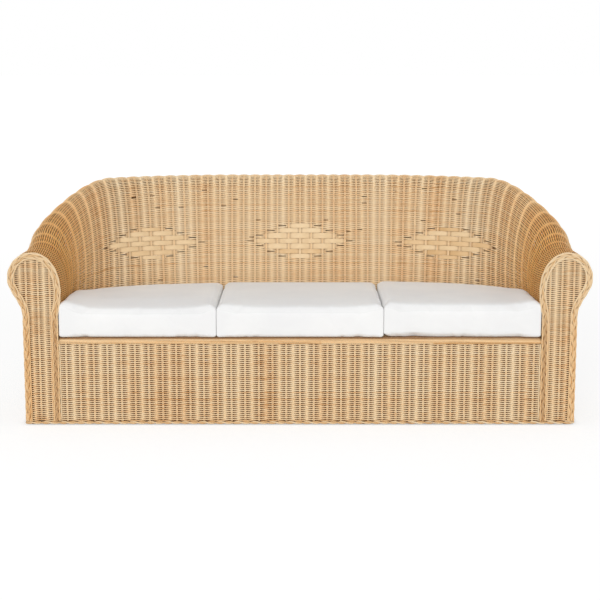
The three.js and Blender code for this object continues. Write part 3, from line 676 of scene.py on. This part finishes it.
panelHalf = halfSeat - fronts["sideGap"]
panelSteps = np.arange(-18 * 6, 18 * 6 + 1) / rows["stepsPerPitch"]
panelHeights = levels(sofa["panelTop"])
panel = frontRows(panelSteps * fronts["panelPitch"], panelSteps, panelHeights,
                  [(-panelHalf, panelHalf)] * len(panelHeights), [fronts["panelAmber"]] * len(panelHeights))
for pair in range(-fronts["panelPairs"], fronts["panelPairs"] + 1):
    for x in pairAt(pair * fronts["panelPitch"]):
        panel.append(frontStake(x, rows["foot"] - stakes["underRows"], sofa["panelTop"]))
layStrands("front_panel_canes", panel, weaveCane, "front_panel_weave")

armOut, armUp, armMark, *_ = (grid[0] for grid in profileAt(np.array([0.0])))
ridgeAt = int(np.argmin(np.abs(armMark - 1)))
armHeights = levels(armEnd["ridgeUp"] - fronts["underRidge"])
innerUp, innerOut = np.r_[0, armUp[:ridgeAt + 1]], np.r_[0, armOut[:ridgeAt + 1]]
outerUp, outerOut = np.r_[0, armUp[ridgeAt:][::-1]], np.r_[armEnd["wallOut"], armOut[ridgeAt:][::-1]]
armSpans = [(np.interp(up, innerUp, innerOut) + fronts["armMargin"],
             np.interp(up, outerUp, outerOut) - fronts["armMargin"]) for up in armHeights]
rowSpans = [(low, high) if high - low > fronts["leastSpan"] else (0, 0) for low, high in armSpans]
armAmbers = fronts["armAmber"] * (1 - smooth(armHeights, *fronts["armAmberFade"]))
armPitch = fronts["armPairs"][1] - fronts["armPairs"][0]
armX = np.arange(-12, 40) * armPitch / rows["stepsPerPitch"] + fronts["armPairs"][0]
armPhases = (armX - fronts["armPairs"][0]) / armPitch
margin = fronts["stakeMargin"]
for name, side in (("left", -1), ("right", 1)):
    armCanes = frontRows(armX, armPhases, armHeights, rowSpans, armAmbers, fronts["paintedHollowShades"][name])
    for out in fronts["armPairs"]:
        for x in pairAt(out):
            reach = [up for up, (low, high) in zip(armHeights, armSpans) if low + margin < x < high - margin]
            if reach:
                armCanes.append(frontStake(x, reach[0], reach[-1]))
    for line, *_ in armCanes:
        line[:, 0] = side * (halfSeat + line[:, 0])
    layStrands(f"{name}_arm_canes", armCanes, weaveCane, f"{name}_arm_panel")

# The plaited borders round the arm fronts: three plies of two canes between four single canes

plait = {
    "inset": 0.0122, "depth": -0.002, "cycle": 0.114, "swing": 0.0042, "lift": 0.0017, "canes": 2,
    "apart": 0.0028, "wide": 0.0016, "tall": 0.0015, "edgeTall": 0.0021, "edgeDepth": 0.0006, "waver": 0.0006,
    "step": 0.003, "outlineStep": 0.004, "square": 1.2, "edges": (0.0107, 0.008),
    "toneSpread": 0.22, "edgeSpread": 0.15, "under": 0.75, "underFrom": 0.2,
    "amber": 0.34, "paleUp": (0.28, 0.52),
    "innerShade": 0.4, "shadeOut": (0.03, 0.05), "shadeUp": (0.32, 0.44),
}


def evenly(line, step):
    along = lengthAlong(line)
    at = np.linspace(0, along[-1], max(int(round(along[-1] / step)), 2) + 1)
    return at, np.stack([np.interp(at, along, line[:, k]) for k in range(line.shape[1])], 1)


def crossways(line):  # the unit way across a flat line, to its right
    ahead = unit(np.gradient(line, axis=0))
    return np.stack([ahead[:, 1], -ahead[:, 0]], 1)


armFoot = [[0, sofa["weaveFoot"]]], [[armEnd["wallOut"], sofa["weaveFoot"]]]
_, outline = evenly(np.r_[armFoot[0], np.stack([armOut, armUp], 1), armFoot[1]], plait["outlineStep"])
inward = crossways(outline)
softly = lambda values: np.convolve(np.pad(values, 3, "edge"), np.ones(7) / 7, "valid")
inward = unit(np.stack([softly(inward[:, k]) for k in (0, 1)], 1))
plaitRun, plaitLine = evenly(outline + inward * plait["inset"], plait["step"])
plaitAcross = crossways(plaitLine)
plaitAmber = plait["amber"] * (1 - smooth(plaitLine[:, 1], *plait["paleUp"]))
innerShade = plait["innerShade"] * (1 - smooth(plaitLine[:, 0], *plait["shadeOut"]))
innerShade = innerShade * (1 - smooth(plaitLine[:, 1], *plait["shadeUp"]))
for name, side in (("left", -1), ("right", 1)):
    onFront = lambda flat, depth: frontPoints(side * (halfSeat + flat[:, 0]), depth, flat[:, 1])
    plies = []
    for ply in range(3):
        angle = 2 * math.pi * (plaitRun / plait["cycle"] + ply / 3)
        swing = plait["swing"] * np.tanh(plait["square"] * np.sin(angle)) / math.tanh(plait["square"])
        slope = np.arctan(np.gradient(swing, plaitRun))
        depth = plait["depth"] + plait["lift"] * np.sin(2 * angle)
        # Painted shade where a ply passes under the others, and on the lower inner stretch of the border
        # (innerShade)
        deep = plait["under"] * smooth(np.sin(2 * angle), plait["underFrom"], 1.0)
        deep = np.minimum(1, deep + innerShade)
        for number in range(plait["canes"]):
            aside = plait["apart"] * (number - (plait["canes"] - 1) / 2)
            at = plaitRun - aside * np.sin(slope)
            flat = np.stack([np.interp(at, plaitRun, plaitLine[:, k]) for k in (0, 1)], 1)
            flat = flat + plaitAcross * (swing + aside * np.cos(slope))[:, None]
            plies.append(strand(onFront(flat, depth), toFront, plait["wide"], plait["tall"],
                                rowTone(plaitRun, plait["toneSpread"]), deep, plaitAmber))
    for edge in (sign * edge for edge in plait["edges"] for sign in (-1, 1)):
        waver = plait["waver"] * np.sin(2 * math.pi * (plaitRun / plait["cycle"] * 3 + luck.uniform()))
        flat = plaitLine + plaitAcross * (edge + waver)[:, None]
        plies.append(strand(onFront(flat, plait["depth"] + plait["edgeDepth"]), toFront, plait["wide"],
                            plait["edgeTall"], rowTone(plaitRun, plait["edgeSpread"]), 0.0, plaitAmber))
    layBorder(f"{name}_arm_plait", plies, f"{name}_arm_border")

# The twist along the floor

floorTwist = {
    "up": 0.0085, "inset": 0.0025, "turn": 0.062, "swing": 0.0026, "thick": 0.0029, "step": 0.0028,
    "ends": 0.004,
}
wallRun = np.linspace(floorTwist["ends"], 2 * halfRun - floorTwist["ends"], 900)
aroundWall = place(wallRun, sectionAt(wallRun)["wallOut"] - floorTwist["inset"], 0.0)[:, :2]
corner = halfSeat + armEnd["wallOut"] - floorTwist["inset"]
frontLine = floorTwist["inset"] - sofa["centreShift"]
floorLine = np.r_[[[corner, frontLine], [-corner, frontLine]], aroundWall, [[corner, frontLine]]]
twistRun, floorLine = evenly(floorLine, floorTwist["step"])
floorOut = -crossways(floorLine)
twist = []
for half in (0, 0.5):
    angle = 2 * math.pi * (twistRun / floorTwist["turn"] + half)
    flat = floorLine + floorOut * (floorTwist["swing"] * np.cos(angle))[:, None]
    line = np.c_[flat, floorTwist["up"] + floorTwist["swing"] * np.sin(angle)]
    twist.append(strand(line, upward, floorTwist["thick"], floorTwist["thick"], rowTone(twistRun)))
layBorder("floor_twist", twist, "foot_border")

# The canes over the front seat rail, with painted shadow where the cushions sit over them, and a post at each
# end

wrap = {
    "depth": 0.0263, "up": 0.2937, "proud": 0.0293, "rise": 0.0243, "thick": 0.0019, "canes": 10,
    "lowest": 10, "flatTo": 0.0403, "flatPitch": 0.0042, "waver": ((0.0003, 9, 1.7), (0.0002, 31, 1)),
    "paintedShadowAt": (32, 66), "paintedShadow": 0.95, "toneSpread": 0.22, "browner": 0.16, "amber": 0.28,
    "postIn": 0.003, "postDepth": 0.002, "postWide": 0.0026, "postTall": 0.0024, "postTone": 0.6,
}
wrapX = np.linspace(-panelHalf, panelHalf, 200)
wrapTone = lambda: rowTone(wrapX - wrapX[0], wrap["toneSpread"])
over = []
for k, degrees in enumerate(np.linspace(wrap["lowest"], 90, wrap["canes"])):
    angle = math.radians(degrees)
    depth = wrap["depth"] - (wrap["proud"] - wrap["thick"]) * math.cos(angle)
    up = wrap["up"] + (wrap["rise"] - wrap["thick"]) * math.sin(angle)
    waver = sum(size * np.sin(wrapX * pace + k * turn) for size, pace, turn in wrap["waver"])
    lift = np.array([0.0, -math.cos(angle), math.sin(angle)])
    # Painted shadow on the upper canes, under the cushions' front edge
    paintedShadow = wrap["paintedShadow"] * smooth(degrees, *wrap["paintedShadowAt"])
    over.append(strand(frontPoints(wrapX, depth + waver, up + waver), lift, wrap["thick"], wrap["thick"],
                       wrapTone() - wrap["browner"], paintedShadow, wrap["amber"]))
for depth in np.arange(wrap["depth"] + wrap["flatPitch"], wrap["flatTo"], wrap["flatPitch"]):
    line = frontPoints(wrapX, depth, sofa["deckUp"] - wrap["thick"])
    over.append(strand(line, upward, wrap["thick"], wrap["thick"], wrapTone()))
for side in (-1, 1):
    postUp = np.linspace(sofa["weaveFoot"], wrap["up"], 16)
    line = frontPoints(side * (halfSeat - wrap["postIn"]), wrap["postDepth"], postUp)
    over.append(strand(line, toFront, wrap["postWide"], wrap["postTall"], wrap["postTone"]))
layBorder("front_rail_canes", over, "front_rail_wrap")

# The seat deck: flat reeds from side to side over wider ones from front to back

deck = {
    "margin": 0.0008, "pitch": 0.006, "wide": 0.0052, "tall": 0.0011, "midUp": 0.3135, "swing": 0.0022,
    "warpPitch": 0.0487, "warpWide": 0.008, "warpTall": 0.0022, "warps": 17, "warpTone": 0.55,
    "ends": 0.004, "warpEnds": 0.002,
}
reeds = []
reedDepths = np.arange(wrap["flatTo"] + deck["ends"], sofa["seatDepth"] - deck["ends"], deck["pitch"])
quarter = deck["warpPitch"] / 4
for k, depth in enumerate(reedDepths):
    past = max(0.0, depth - cornerStart) / sofa["cornerDepth"]
    reach = halfStraight + cornerWide * math.sqrt(1 - past ** 2) - deck["margin"]
    x = np.r_[-reach, np.arange(math.ceil(-reach / quarter), reach / quarter) * quarter, reach]
    line = frontPoints(x, depth, deck["midUp"] + deck["swing"] * waveOf(x / deck["warpPitch"], k % 2))
    reeds.append(strand(line, upward, deck["wide"] / 2, deck["tall"] / 2, rowTone(x - x[0])))
for k in range(-deck["warps"], deck["warps"] + 1):
    x = k * deck["warpPitch"]
    depth = np.linspace(wrap["flatTo"] + deck["warpEnds"], seatBack(x) - deck["margin"], 12)
    line = frontPoints(x, depth, deck["midUp"])
    reeds.append(strand(line, upward, deck["warpWide"] / 2, deck["warpTall"] / 2, deck["warpTone"]))
layStrands("seat_deck_reeds", reeds, weaveCane, "seat_deck", ring=flatSplint, smoothed=False)


# Cushions

cushion = {
    "foot": 0.3183, "thickness": 0.104, "higher": {"left": -0.001, "centre": 0.0, "right": 0.005},
    "edge": 0.008, "footEdge": 0.005, "corner": 0.006, "outerCorner": 0.014, "seam": 0.295, "ease": 0.015,
    "sideEase": 0.003, "easeOver": (0.45, 1.0), "bendClear": 0.032, "setback": -0.002, "step": 0.008,
    "inset": 0.002, "topInset": 0.003, "footInset": 0.001, "between": 0.0003, "zipFlatEnd": 0.56,
    "voxel": 0.0065, "pressure": 4.0, "quality": 4, "frames": 20, "swell": 0.3, "cap": 0.009,
    "crown": 0.008, "crownReach": 0.06, "crownFrom": 0.03, "crisp": (0.0045, 0.001), "upperFrom": 0.05,
    "dips": {"left": 0.011, "centre": 0.007, "right": 0.004}, "dipBack": (0.02, 0.16), "kick": 0.009,
    "sideUp": 0.007, "sideUpFrom": (0.72, 0.97), "sideUpBack": (0.3, 0.5),
    "cornerUp": {"left": 0.012, "centre": 0.0, "right": 0.006}, "cornerUpIn": (0.13, 0.01),
    "cornerUpBack": (0.06, 0.42), "slack": 0.0035, "slackBack": (0.3, 0.52), "sidePress": 0.0012,
    "sideLimit": 0.0015, "seamLimit": 0.0002, "frontLimit": 0.006, "backLimit": 0.008,
    "fill": 0.75, "foamInset": 0.021, "foamFoot": 0.01, "foamTop": 0.022, "foamEdge": 0.01,
}
sewnIn = {"tall": (0.009, 0.028), "starts": (0.02, 0.08), "ends": (0.92, 0.98), "reach": 0.02, "sunk": 0.0006}
shift = np.array([0, sofa["centreShift"]])


def topOf(name):
    return cushion["foot"] + cushion["thickness"] + cushion["higher"][name]


def roundedOutline(corners, radii):  # anticlockwise from above
    corners, line = np.array(corners), []
    for k, (here, radius) in enumerate(zip(corners, radii)):
        if not radius:
            line.append(here)
            continue
        toBefore, toAfter = unit(corners[k - 1] - here), unit(corners[(k + 1) % len(corners)] - here)
        for t in np.linspace(0, 1, 9):
            line.append(here + toBefore * radius * (1 - t) ** 2 + toAfter * radius * t ** 2)
    return np.array(line)


def zipEnd():  # the outer end of the straight stretch of back that the zip is sewn into
    return np.array([cushion["zipFlatEnd"], seatBack(cushion["zipFlatEnd"]) - cushion["ease"]])


def sideOutline():
    inner, side = cushion["seam"] + cushion["between"], halfSeat - cushion["sideEase"]
    front, back = cushion["setback"], sofa["seatDepth"] - cushion["ease"]
    angle = np.linspace(0, math.pi / 2, 60)[1:-1]
    bent = np.c_[halfStraight + cornerWide * np.cos(angle), cornerStart + sofa["cornerDepth"] * np.sin(angle)]
    across = unit(np.stack([np.cos(angle) / cornerWide, np.sin(angle) / sofa["cornerDepth"]], 1))
    easing = (cushion["ease"] - cushion["sideEase"]) * smooth(angle, *cushion["easeOver"])
    bent = bent - across * (cushion["sideEase"] + easing)[:, None]
    bent = bent[np.all(bent > np.array([zipEnd()[0], cornerStart]) + cushion["bendClear"], axis=1)]
    corners = [(inner, front), (side, front), (side, cornerStart), *bent, zipEnd(), (inner, back)]
    radii = [cushion["corner"], cushion["outerCorner"], *[0] * (len(bent) + 2), cushion["corner"]]
    return roundedOutline(corners, radii)


def centreOutline():
    half = cushion["seam"] - cushion["between"]
    front, back = cushion["setback"], sofa["seatDepth"] - cushion["ease"]
    corners = [(-half, front), (half, front), (half, back), (-half, back)]
    return roundedOutline(corners, [cushion["corner"]] * 4)


def distanceTo(line, points):  # how far each point lies from a closed line
    best = np.full(len(points), 9.0)
    for a, b in zip(line, np.roll(line, -1, axis=0)):
        along = b - a
        t = np.clip(((points - a) @ along) / max(along @ along, 1e-12), 0, 1)
        best = np.minimum(best, np.linalg.norm(points - a - t[:, None] * along, axis=1))
    return best


def padMesh(name, line, inset, foot, top, edge, footEdge):  # a boxed pad with rounded edges
    _, line = evenly(np.r_[line, line[:1]], cushion["step"])
    line = line[:-1]
    ahead = unit(np.roll(line, -1, axis=0) - np.roll(line, 1, axis=0))
    inwards = np.stack([-ahead[:, 1], ahead[:, 0]], 1)
    turns = np.linspace(0, math.pi / 2, 5)
    rings = [(footEdge * (1 - math.sin(a)), foot + footEdge * (1 - math.cos(a))) for a in turns]
    rings += [(edge * (1 - math.cos(a)), top - edge * (1 - math.sin(a))) for a in turns]
    points = [np.c_[line + inwards * (inset + drawn) - shift, np.full(len(line), up)] for drawn, up in rings]
    count, k = len(line), np.arange(len(line))
    beside = (k + 1) % count
    faces = []
    for low in range(0, (len(rings) - 1) * count, count):
        faces += [*np.stack([low + k, low + beside, low + count + beside, low + count + k], 1)]
    faces += [k[::-1], (len(rings) - 1) * count + k]
    return makeObject(name, np.concatenate(points), np.concatenate(faces), [len(face) for face in faces])


def coordsOf(mesh):
    co = np.zeros(len(mesh.vertices) * 3)
    mesh.vertices.foreach_get("co", co)
    return co.reshape(-1, 3)


def applyModifiers(piece):
    shaped = bpy.data.meshes.new_from_object(piece.evaluated_get(bpy.context.evaluated_depsgraph_get()))
    old, piece.data = piece.data, shaped
    piece.modifiers.clear()
    bpy.data.meshes.remove(old)


# The filled cotton, before and after, becomes a cushion that fits its place
def shapedCotton(name, side, line, before, co):
    foot, top, seam = cushion["foot"], topOf(name), cushion["seam"]
    moved = (co - before) * [cushion["swell"], cushion["swell"], 1]
    size = np.linalg.norm(moved, axis=1, keepdims=True)
    co = before + moved * np.minimum(1, cushion["cap"] / np.maximum(size, 1e-9))
    # The top's middle is crowned over its edges
    inside = distanceTo(line, co[:, :2] + shift)
    co[:, 2] += (cushion["crown"] * smooth(co[:, 2], top - cushion["crownFrom"], top)
                 * smooth(inside, 0.0, cushion["crownReach"]))
    # It fills its place from side to side and stands a little over the front edge
    (lowX, lowY), (highX, highY) = co[:, :2].min(0), co[:, :2].max(0)
    left, right = sorted([side * seam, side * (halfSeat - cushion["sidePress"])]) if side else (-seam, seam)
    near, kept = cushion["crisp"]
    front = cushion["setback"] - cushion["inset"] - sofa["centreShift"]
    co[:, 0] = np.interp(co[:, 0], [lowX, lowX + near, highX - near, highX],
                         [left, left + kept, right - kept, right])
    co[:, 1] = np.interp(co[:, 1], [lowY, lowY + near, highY], [front, front + kept, highY])
    depth = co[:, 1] + sofa["centreShift"]
    # The front's top edge dips between the corners
    low, high = line[:, 0].min(), line[:, 0].max()
    across = (2 * co[:, 0] - low - high) / (high - low)
    nearFront = 1 - smooth(depth, *cushion["dipBack"])
    upper = lambda: smooth(co[:, 2], foot + cushion["upperFrom"], top)  # of the heights as they are then
    co[:, 2] -= cushion["dips"][name] * (1 - across ** 4) * nearFront * upper()
    # Its sides stand up against their neighbours, and the outer corner by the arm
    atSides = smooth(np.abs(across), *cushion["sideUpFrom"]) * (1 - smooth(depth, *cushion["sideUpBack"]))
    atCorner = smooth(side * co[:, 0], *(halfSeat - margin for margin in cushion["cornerUpIn"]))
    atCorner *= 1 - smooth(depth, *cushion["cornerUpBack"])
    co[:, 2] += upper() * (cushion["sideUp"] * atSides + cushion["cornerUp"][name] * atCorner)
    if name == "right":  # pushed up a little against its neighbour
        co[:, 2] += cushion["kick"] * (1 - across) / 2 * nearFront * (1 - smooth(co[:, 2], foot, top))
    # Neighbours press each other flat, and the foot lies flat on the deck
    co[:, 2] = np.maximum(co[:, 2], foot)
    slack = cushion["slack"] * smooth(depth, *cushion["slackBack"])
    if side:
        inner = seam + cushion["seamLimit"] + slack
        co[:, 0] = side * np.clip(side * co[:, 0], inner, halfSeat - cushion["sideLimit"])
    else:
        inner = seam - cushion["seamLimit"] - slack
        co[:, 0] = np.clip(co[:, 0], -inner, inner)
    co[:, 1] = np.clip(co[:, 1], -sofa["centreShift"] - cushion["frontLimit"],
                       sofa["seatDepth"] - cushion["backLimit"] - sofa["centreShift"])
    # The back is flat where the zip is sewn in
    back = sofa["seatDepth"] - cushion["ease"]
    a, b = np.array([-seam, back]), np.array([seam, back])
    if side:
        a, b = np.array([side * (seam + cushion["between"]), back]), zipEnd() * [side, 1]
    course = unit(b - a)
    out = np.array([-course[1], course[0]])
    out = out * np.sign(out[1])
    flat = co[:, :2] + shift - a
    t, away = flat @ course / np.linalg.norm(b - a), flat @ out
    level = cushion["foot"] + cushion["thickness"] / 2
    sewn = 1 - smooth(np.abs(co[:, 2] - level), *sewnIn["tall"])
    sewn = sewn * smooth(t, *sewnIn["starts"]) * (1 - smooth(t, *sewnIn["ends"]))
    sewn = np.where(away > -sewnIn["reach"], sewn, 0)
    co[:, :2] += out * (sewn * (-sewnIn["sunk"] - away))[:, None]
    return co


cloth = {
    "whites": (paint(240, 240, 240), paint(246, 246, 245)), "thread": paint(214, 214, 212),
    "seam": paint(196, 196, 194), "threads": 420.0, "stitches": 90.0, "seamLevels": (0.06, 0.93),
    "seamWidth": (0.004, 0.016), "foam": (paint(226, 208, 150), paint(240, 228, 180)),
}


def cottonFinish():
    material, shader, wire = newFinish("cushionCotton", Sheen_Weight=0.15)
    spot, boxing = wire.spot(), wire.value("boxing")
    slub, cloud = spot.noise(130.0, 3.0), spot.noise(6.0, 3.0)
    thread = (spot.waves("X", cloth["threads"], 1.2) + spot.waves("Y", cloth["threads"], 1.2)) * 0.5
    stitch = spot.waves("DIAGONAL", cloth["stitches"])
    below, above = (1 - wire.maths("ABSOLUTE", boxing - level).spread(*cloth["seamWidth"])
                    for level in cloth["seamLevels"])
    sunk = wire.maths("MAXIMUM", below, above)  # the seams of the boxing, drawn in by their stitches
    base = cloud.colours(*zip((0.3, 0.7), cloth["whites"])).mix(thread * 0.06, cloth["thread"])
    # Painted crease shade: the seams are greyed a little, more at each stitch
    base = base.mix(sunk * (stitch * 0.08 + 0.05), cloth["seam"])
    height = thread * 0.4 + slub * 0.8 - sunk * (stitch * 0.8 + 1.4)
    feed(shader, Base_Color=base, Roughness=thread * 0.05 + 0.88, Normal=height.bump(0.35, 0.0006))
    return material


def foamFinish():
    material, shader, wire = newFinish("cushionFoam", Roughness=0.95)
    cells = wire.spot().cells(450.0)
    feed(shader, Base_Color=cells.colours(*zip((0.1, 0.6), cloth["foam"])), Normal=cells.bump(0.5, 0.0008))
    return material


def dressCushion(piece, name, part, finish):
    piece.data.materials.clear()
    piece.data.materials.append(finish)
    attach(piece, f"cushion_{name}")
    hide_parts(f"{name}_cushion_{part}")


cotton, foam = cottonFinish(), foamFinish()
sides = {"left": -1, "centre": 0, "right": 1}
outlines = {"left": (sideOutline() * [-1, 1])[::-1], "centre": centreOutline(), "right": sideOutline()}
pads, before = {}, {}
for name, line in outlines.items():
    pad = padMesh(f"{name}_cushion_pad", line, cushion["inset"], cushion["foot"] + cushion["footInset"],
                  topOf(name) - cushion["topInset"], cushion["edge"], cushion["footEdge"])
    voxels = pad.modifiers.new("voxels", "REMESH")
    voxels.mode, voxels.voxel_size = "VOXEL", cushion["voxel"]
    applyModifiers(pad)
    pads[name], before[name] = pad, coordsOf(pad.data)

for pad in pads.values():
    filling = pad.modifiers.new("filling", "CLOTH")
    filling.settings.use_pressure = True
    filling.settings.uniform_pressure_force = cushion["pressure"]
    filling.settings.effector_weights.gravity = 0
    filling.settings.quality = cushion["quality"]
    filling.point_cache.frame_start, filling.point_cache.frame_end = 1, cushion["frames"]
for number in range(1, cushion["frames"] + 1):
    bpy.context.scene.frame_set(number)
for pad in pads.values():
    applyModifiers(pad)
bpy.context.scene.frame_set(1)
print("cushions filled")

for name, pad in pads.items():
    line, start, top = outlines[name], before[name], topOf(name)
    co = shapedCotton(name, sides[name], line, start, coordsOf(pad.data))
    pad.data.vertices.foreach_set("co", co.ravel())
    boxing = pad.data.attributes.new("boxing", "FLOAT", "POINT")
    boxing.data.foreach_set("value", (start[:, 2] - cushion["foot"]) / (top - cushion["foot"]))
    rounder = pad.modifiers.new("rounder", "SUBSURF")
    rounder.levels = rounder.render_levels = 1
    applyModifiers(pad)
    pad.data.polygons.foreach_set("use_smooth", np.full(len(pad.data.polygons), True))
    pad.name = f"{name}_cushion_cotton"
    dressCushion(pad, name, "cover", cotton)
    core = padMesh(f"{name}_cushion_foam", line, cushion["foamInset"], cushion["foot"] + cushion["foamFoot"],
                   top - cushion["foamTop"], cushion["foamEdge"], cushion["foamEdge"])
    dressCushion(core, name, "core", foam)
print("cushions placed")


# The carried-over poles, glides and zips

bare = {
    "pole": (paint(176, 128, 78), paint(206, 160, 104), paint(222, 184, 130)),
    "poleGrain": paint(150, 104, 60), "poleKnot": paint(120, 80, 44),
    "nylon": (paint(96, 70, 46), paint(116, 86, 58)), "tape": (paint(214, 214, 210), paint(240, 240, 237)),
    "metal": (paint(168, 168, 170), paint(198, 198, 200)), "metalStretch": (200, 200, 4000),
}


def poleFinish():
    material, shader, wire = newFinish("rattanPole", Coat_Roughness=0.3)
    spot = wire.spot()
    blotch, grain, knots = spot.noise(16.0, 4.0), spot.noise(260.0, 3.0), spot.cells(4.5)
    base = blotch.colours(*zip((0.3, 0.5, 0.7), bare["pole"]))
    base = base.mix(grain.spread(0.55, 0.7) * 0.4, bare["poleGrain"])
    base = base.mix((1 - knots.spread(0.02, 0.06)) * 0.7, bare["poleKnot"])
    feed(shader, Base_Color=base, Roughness=grain * 0.2 + 0.38, Normal=grain.bump(0.4, 0.0004))
    return material


def nylonFinish():
    material, shader, wire = newFinish("glideNylon")
    spot = wire.spot()
    haze, pit = spot.noise(60.0), spot.noise(900.0)
    feed(shader, Base_Color=haze.colours(*zip((0.3, 0.7), bare["nylon"])), Roughness=haze * 0.2 + 0.4,
         Normal=pit.bump(0.3, 0.0002))
    return material


def zipTapeFinish():
    material, shader, wire = newFinish("zipTape")
    spot = wire.spot()
    teeth, weave = spot.waves("X", 260.0), spot.noise(900.0)
    feed(shader, Base_Color=teeth.colours(*zip((0.2, 0.8), bare["tape"])), Roughness=weave * 0.2 + 0.7,
         Normal=(teeth + weave * 0.4).bump(0.7, 0.0006))
    return material


def zipMetalFinish():
    material, shader, wire = newFinish("zipMetal", Metallic=1.0)
    drawn = {0: wire.spot(), 1: bare["metalStretch"]}
    brushed = wire.node("ShaderNodeVectorMath", {"operation": "MULTIPLY"}, drawn).noise(1.0)
    feed(shader, Base_Color=brushed.colours(*zip((0.3, 0.7), bare["metal"])), Roughness=brushed * 0.2 + 0.25,
         Normal=brushed.bump(0.3, 0.0001))
    return material


finishes = {
    "rattan_pole": poleFinish(), "glide_nylon": nylonFinish(), "zip_tape": zipTapeFinish(),
    "zip_metal": zipMetalFinish(),
}
slotOf = {node["node"]: node["material_slot"] for node in frame["record"]["subparts"]}
for name, node in frame["nodes"].items():
    if slotOf[name] in finishes:
        for holder in node.material_slots:
            holder.material = finishes[slotOf[name]]
print("poles, glides and zips finished")


# Camera, lamps and floor

view = {"place": (0, -5.365, 1.33), "pitch": 9.955, "lens": 86.75, "sensor": 36}
camera = added("camera", bpy.data.cameras.new("camera"))
camera.location = view["place"]
camera.rotation_euler = (math.radians(90 - view["pitch"]), 0, 0)
camera.data.lens, camera.data.sensor_width, camera.data.clip_end = view["lens"], view["sensor"], 200
bpy.context.scene.camera = camera

lights = {
    "world": 0.58, "frontPower": 692, "frontPlace": (-0.8, -11.3, 4.3), "frontSize": 6.4, "aim": (0, 0, 0.4),
    "backdrop": 1.0, "floorGlow": 0.68, "farGlow": 0.8, "farFrom": 2.0, "farFull": 8.0, "floorSeen": 0.42,
    "floorBounce": 0.75, "floorReach": 60, "floorDrop": 0.0005, "underWide": (0.93, 1.0),
    "underDeep": (0.31, 0.37),
}
lamp = added("front_lamp", bpy.data.lights.new("front_lamp", "AREA"))
lamp.data.shape, lamp.data.size, lamp.data.energy = "DISK", lights["frontSize"], lights["frontPower"]
lamp.location = lights["frontPlace"]
lamp.rotation_euler = (Vector(lights["aim"]) - lamp.location).to_track_quat("-Z", "Y").to_euler()


def seenRays(wire):  # 1 for what the camera sees, also in gloss and through glass
    rays = wire.node("ShaderNodeLightPath")
    direct, gloss, through = map(rays.output, ("Is Camera Ray", "Is Glossy Ray", "Is Transmission Ray"))
    return wire.maths("MAXIMUM", wire.maths("MAXIMUM", direct, gloss), through)


world = bpy.data.worlds.new("studio")
bpy.context.scene.world = world
world.use_nodes = True
background = world.node_tree.nodes["Background"]
background.inputs["Color"].default_value = (1, 1, 1, 1)
strength = seenRays(Wire(world.node_tree)) * (lights["backdrop"] - lights["world"]) + lights["world"]
world.node_tree.links.new(strength.socket, background.inputs["Strength"])

floorFinish = bpy.data.materials.new("floor")
floorFinish.use_nodes = True
tree = floorFinish.node_tree
tree.nodes.remove(tree.nodes["Principled BSDF"])
wire = Wire(tree)
seen, spot = seenRays(wire), wire.spot()
bounce, shown = ((lights[key],) * 3 + (1,) for key in ("floorBounce", "floorSeen"))
tone = wire.node("ShaderNodeMix", {"data_type": "RGBA"}, {0: seen, 6: bounce, 7: shown}, output=2)
matt = wire.node("ShaderNodeBsdfDiffuse", inputs={"Color": tone})
apart = wire.node("ShaderNodeSeparateXYZ", inputs={0: spot})
across, behind = (wire.maths("ABSOLUTE", apart.output(k)) for k in (0, 1))
# No glow below the sofa
clear = 1 - (1 - across.spread(*lights["underWide"])) * (1 - behind.spread(*lights["underDeep"]))
away = wire.node("ShaderNodeVectorMath", {"operation": "LENGTH"}, {0: spot}, output="Value")
away = away.spread(lights["farFrom"], lights["farFull"])
glowing = (away * (lights["farGlow"] - lights["floorGlow"]) + lights["floorGlow"]) * clear
glow = wire.node("ShaderNodeEmission", inputs={"Color": (1, 1, 1, 1), "Strength": seen * glowing})
both = wire.node("ShaderNodeAddShader", inputs={0: matt, 1: glow})
tree.links.new(both.socket, tree.nodes["Material Output"].inputs["Surface"])
reach, drop = lights["floorReach"], -lights["floorDrop"]
floorCorners = [(-reach, -reach, drop), (reach, -reach, drop), (reach, reach, drop), (-reach, reach, drop)]
floor = makeObject("floor", floorCorners, range(4), [4], floorFinish, smoothed=False)
bpy.context.scene.view_settings.view_transform = "Standard"
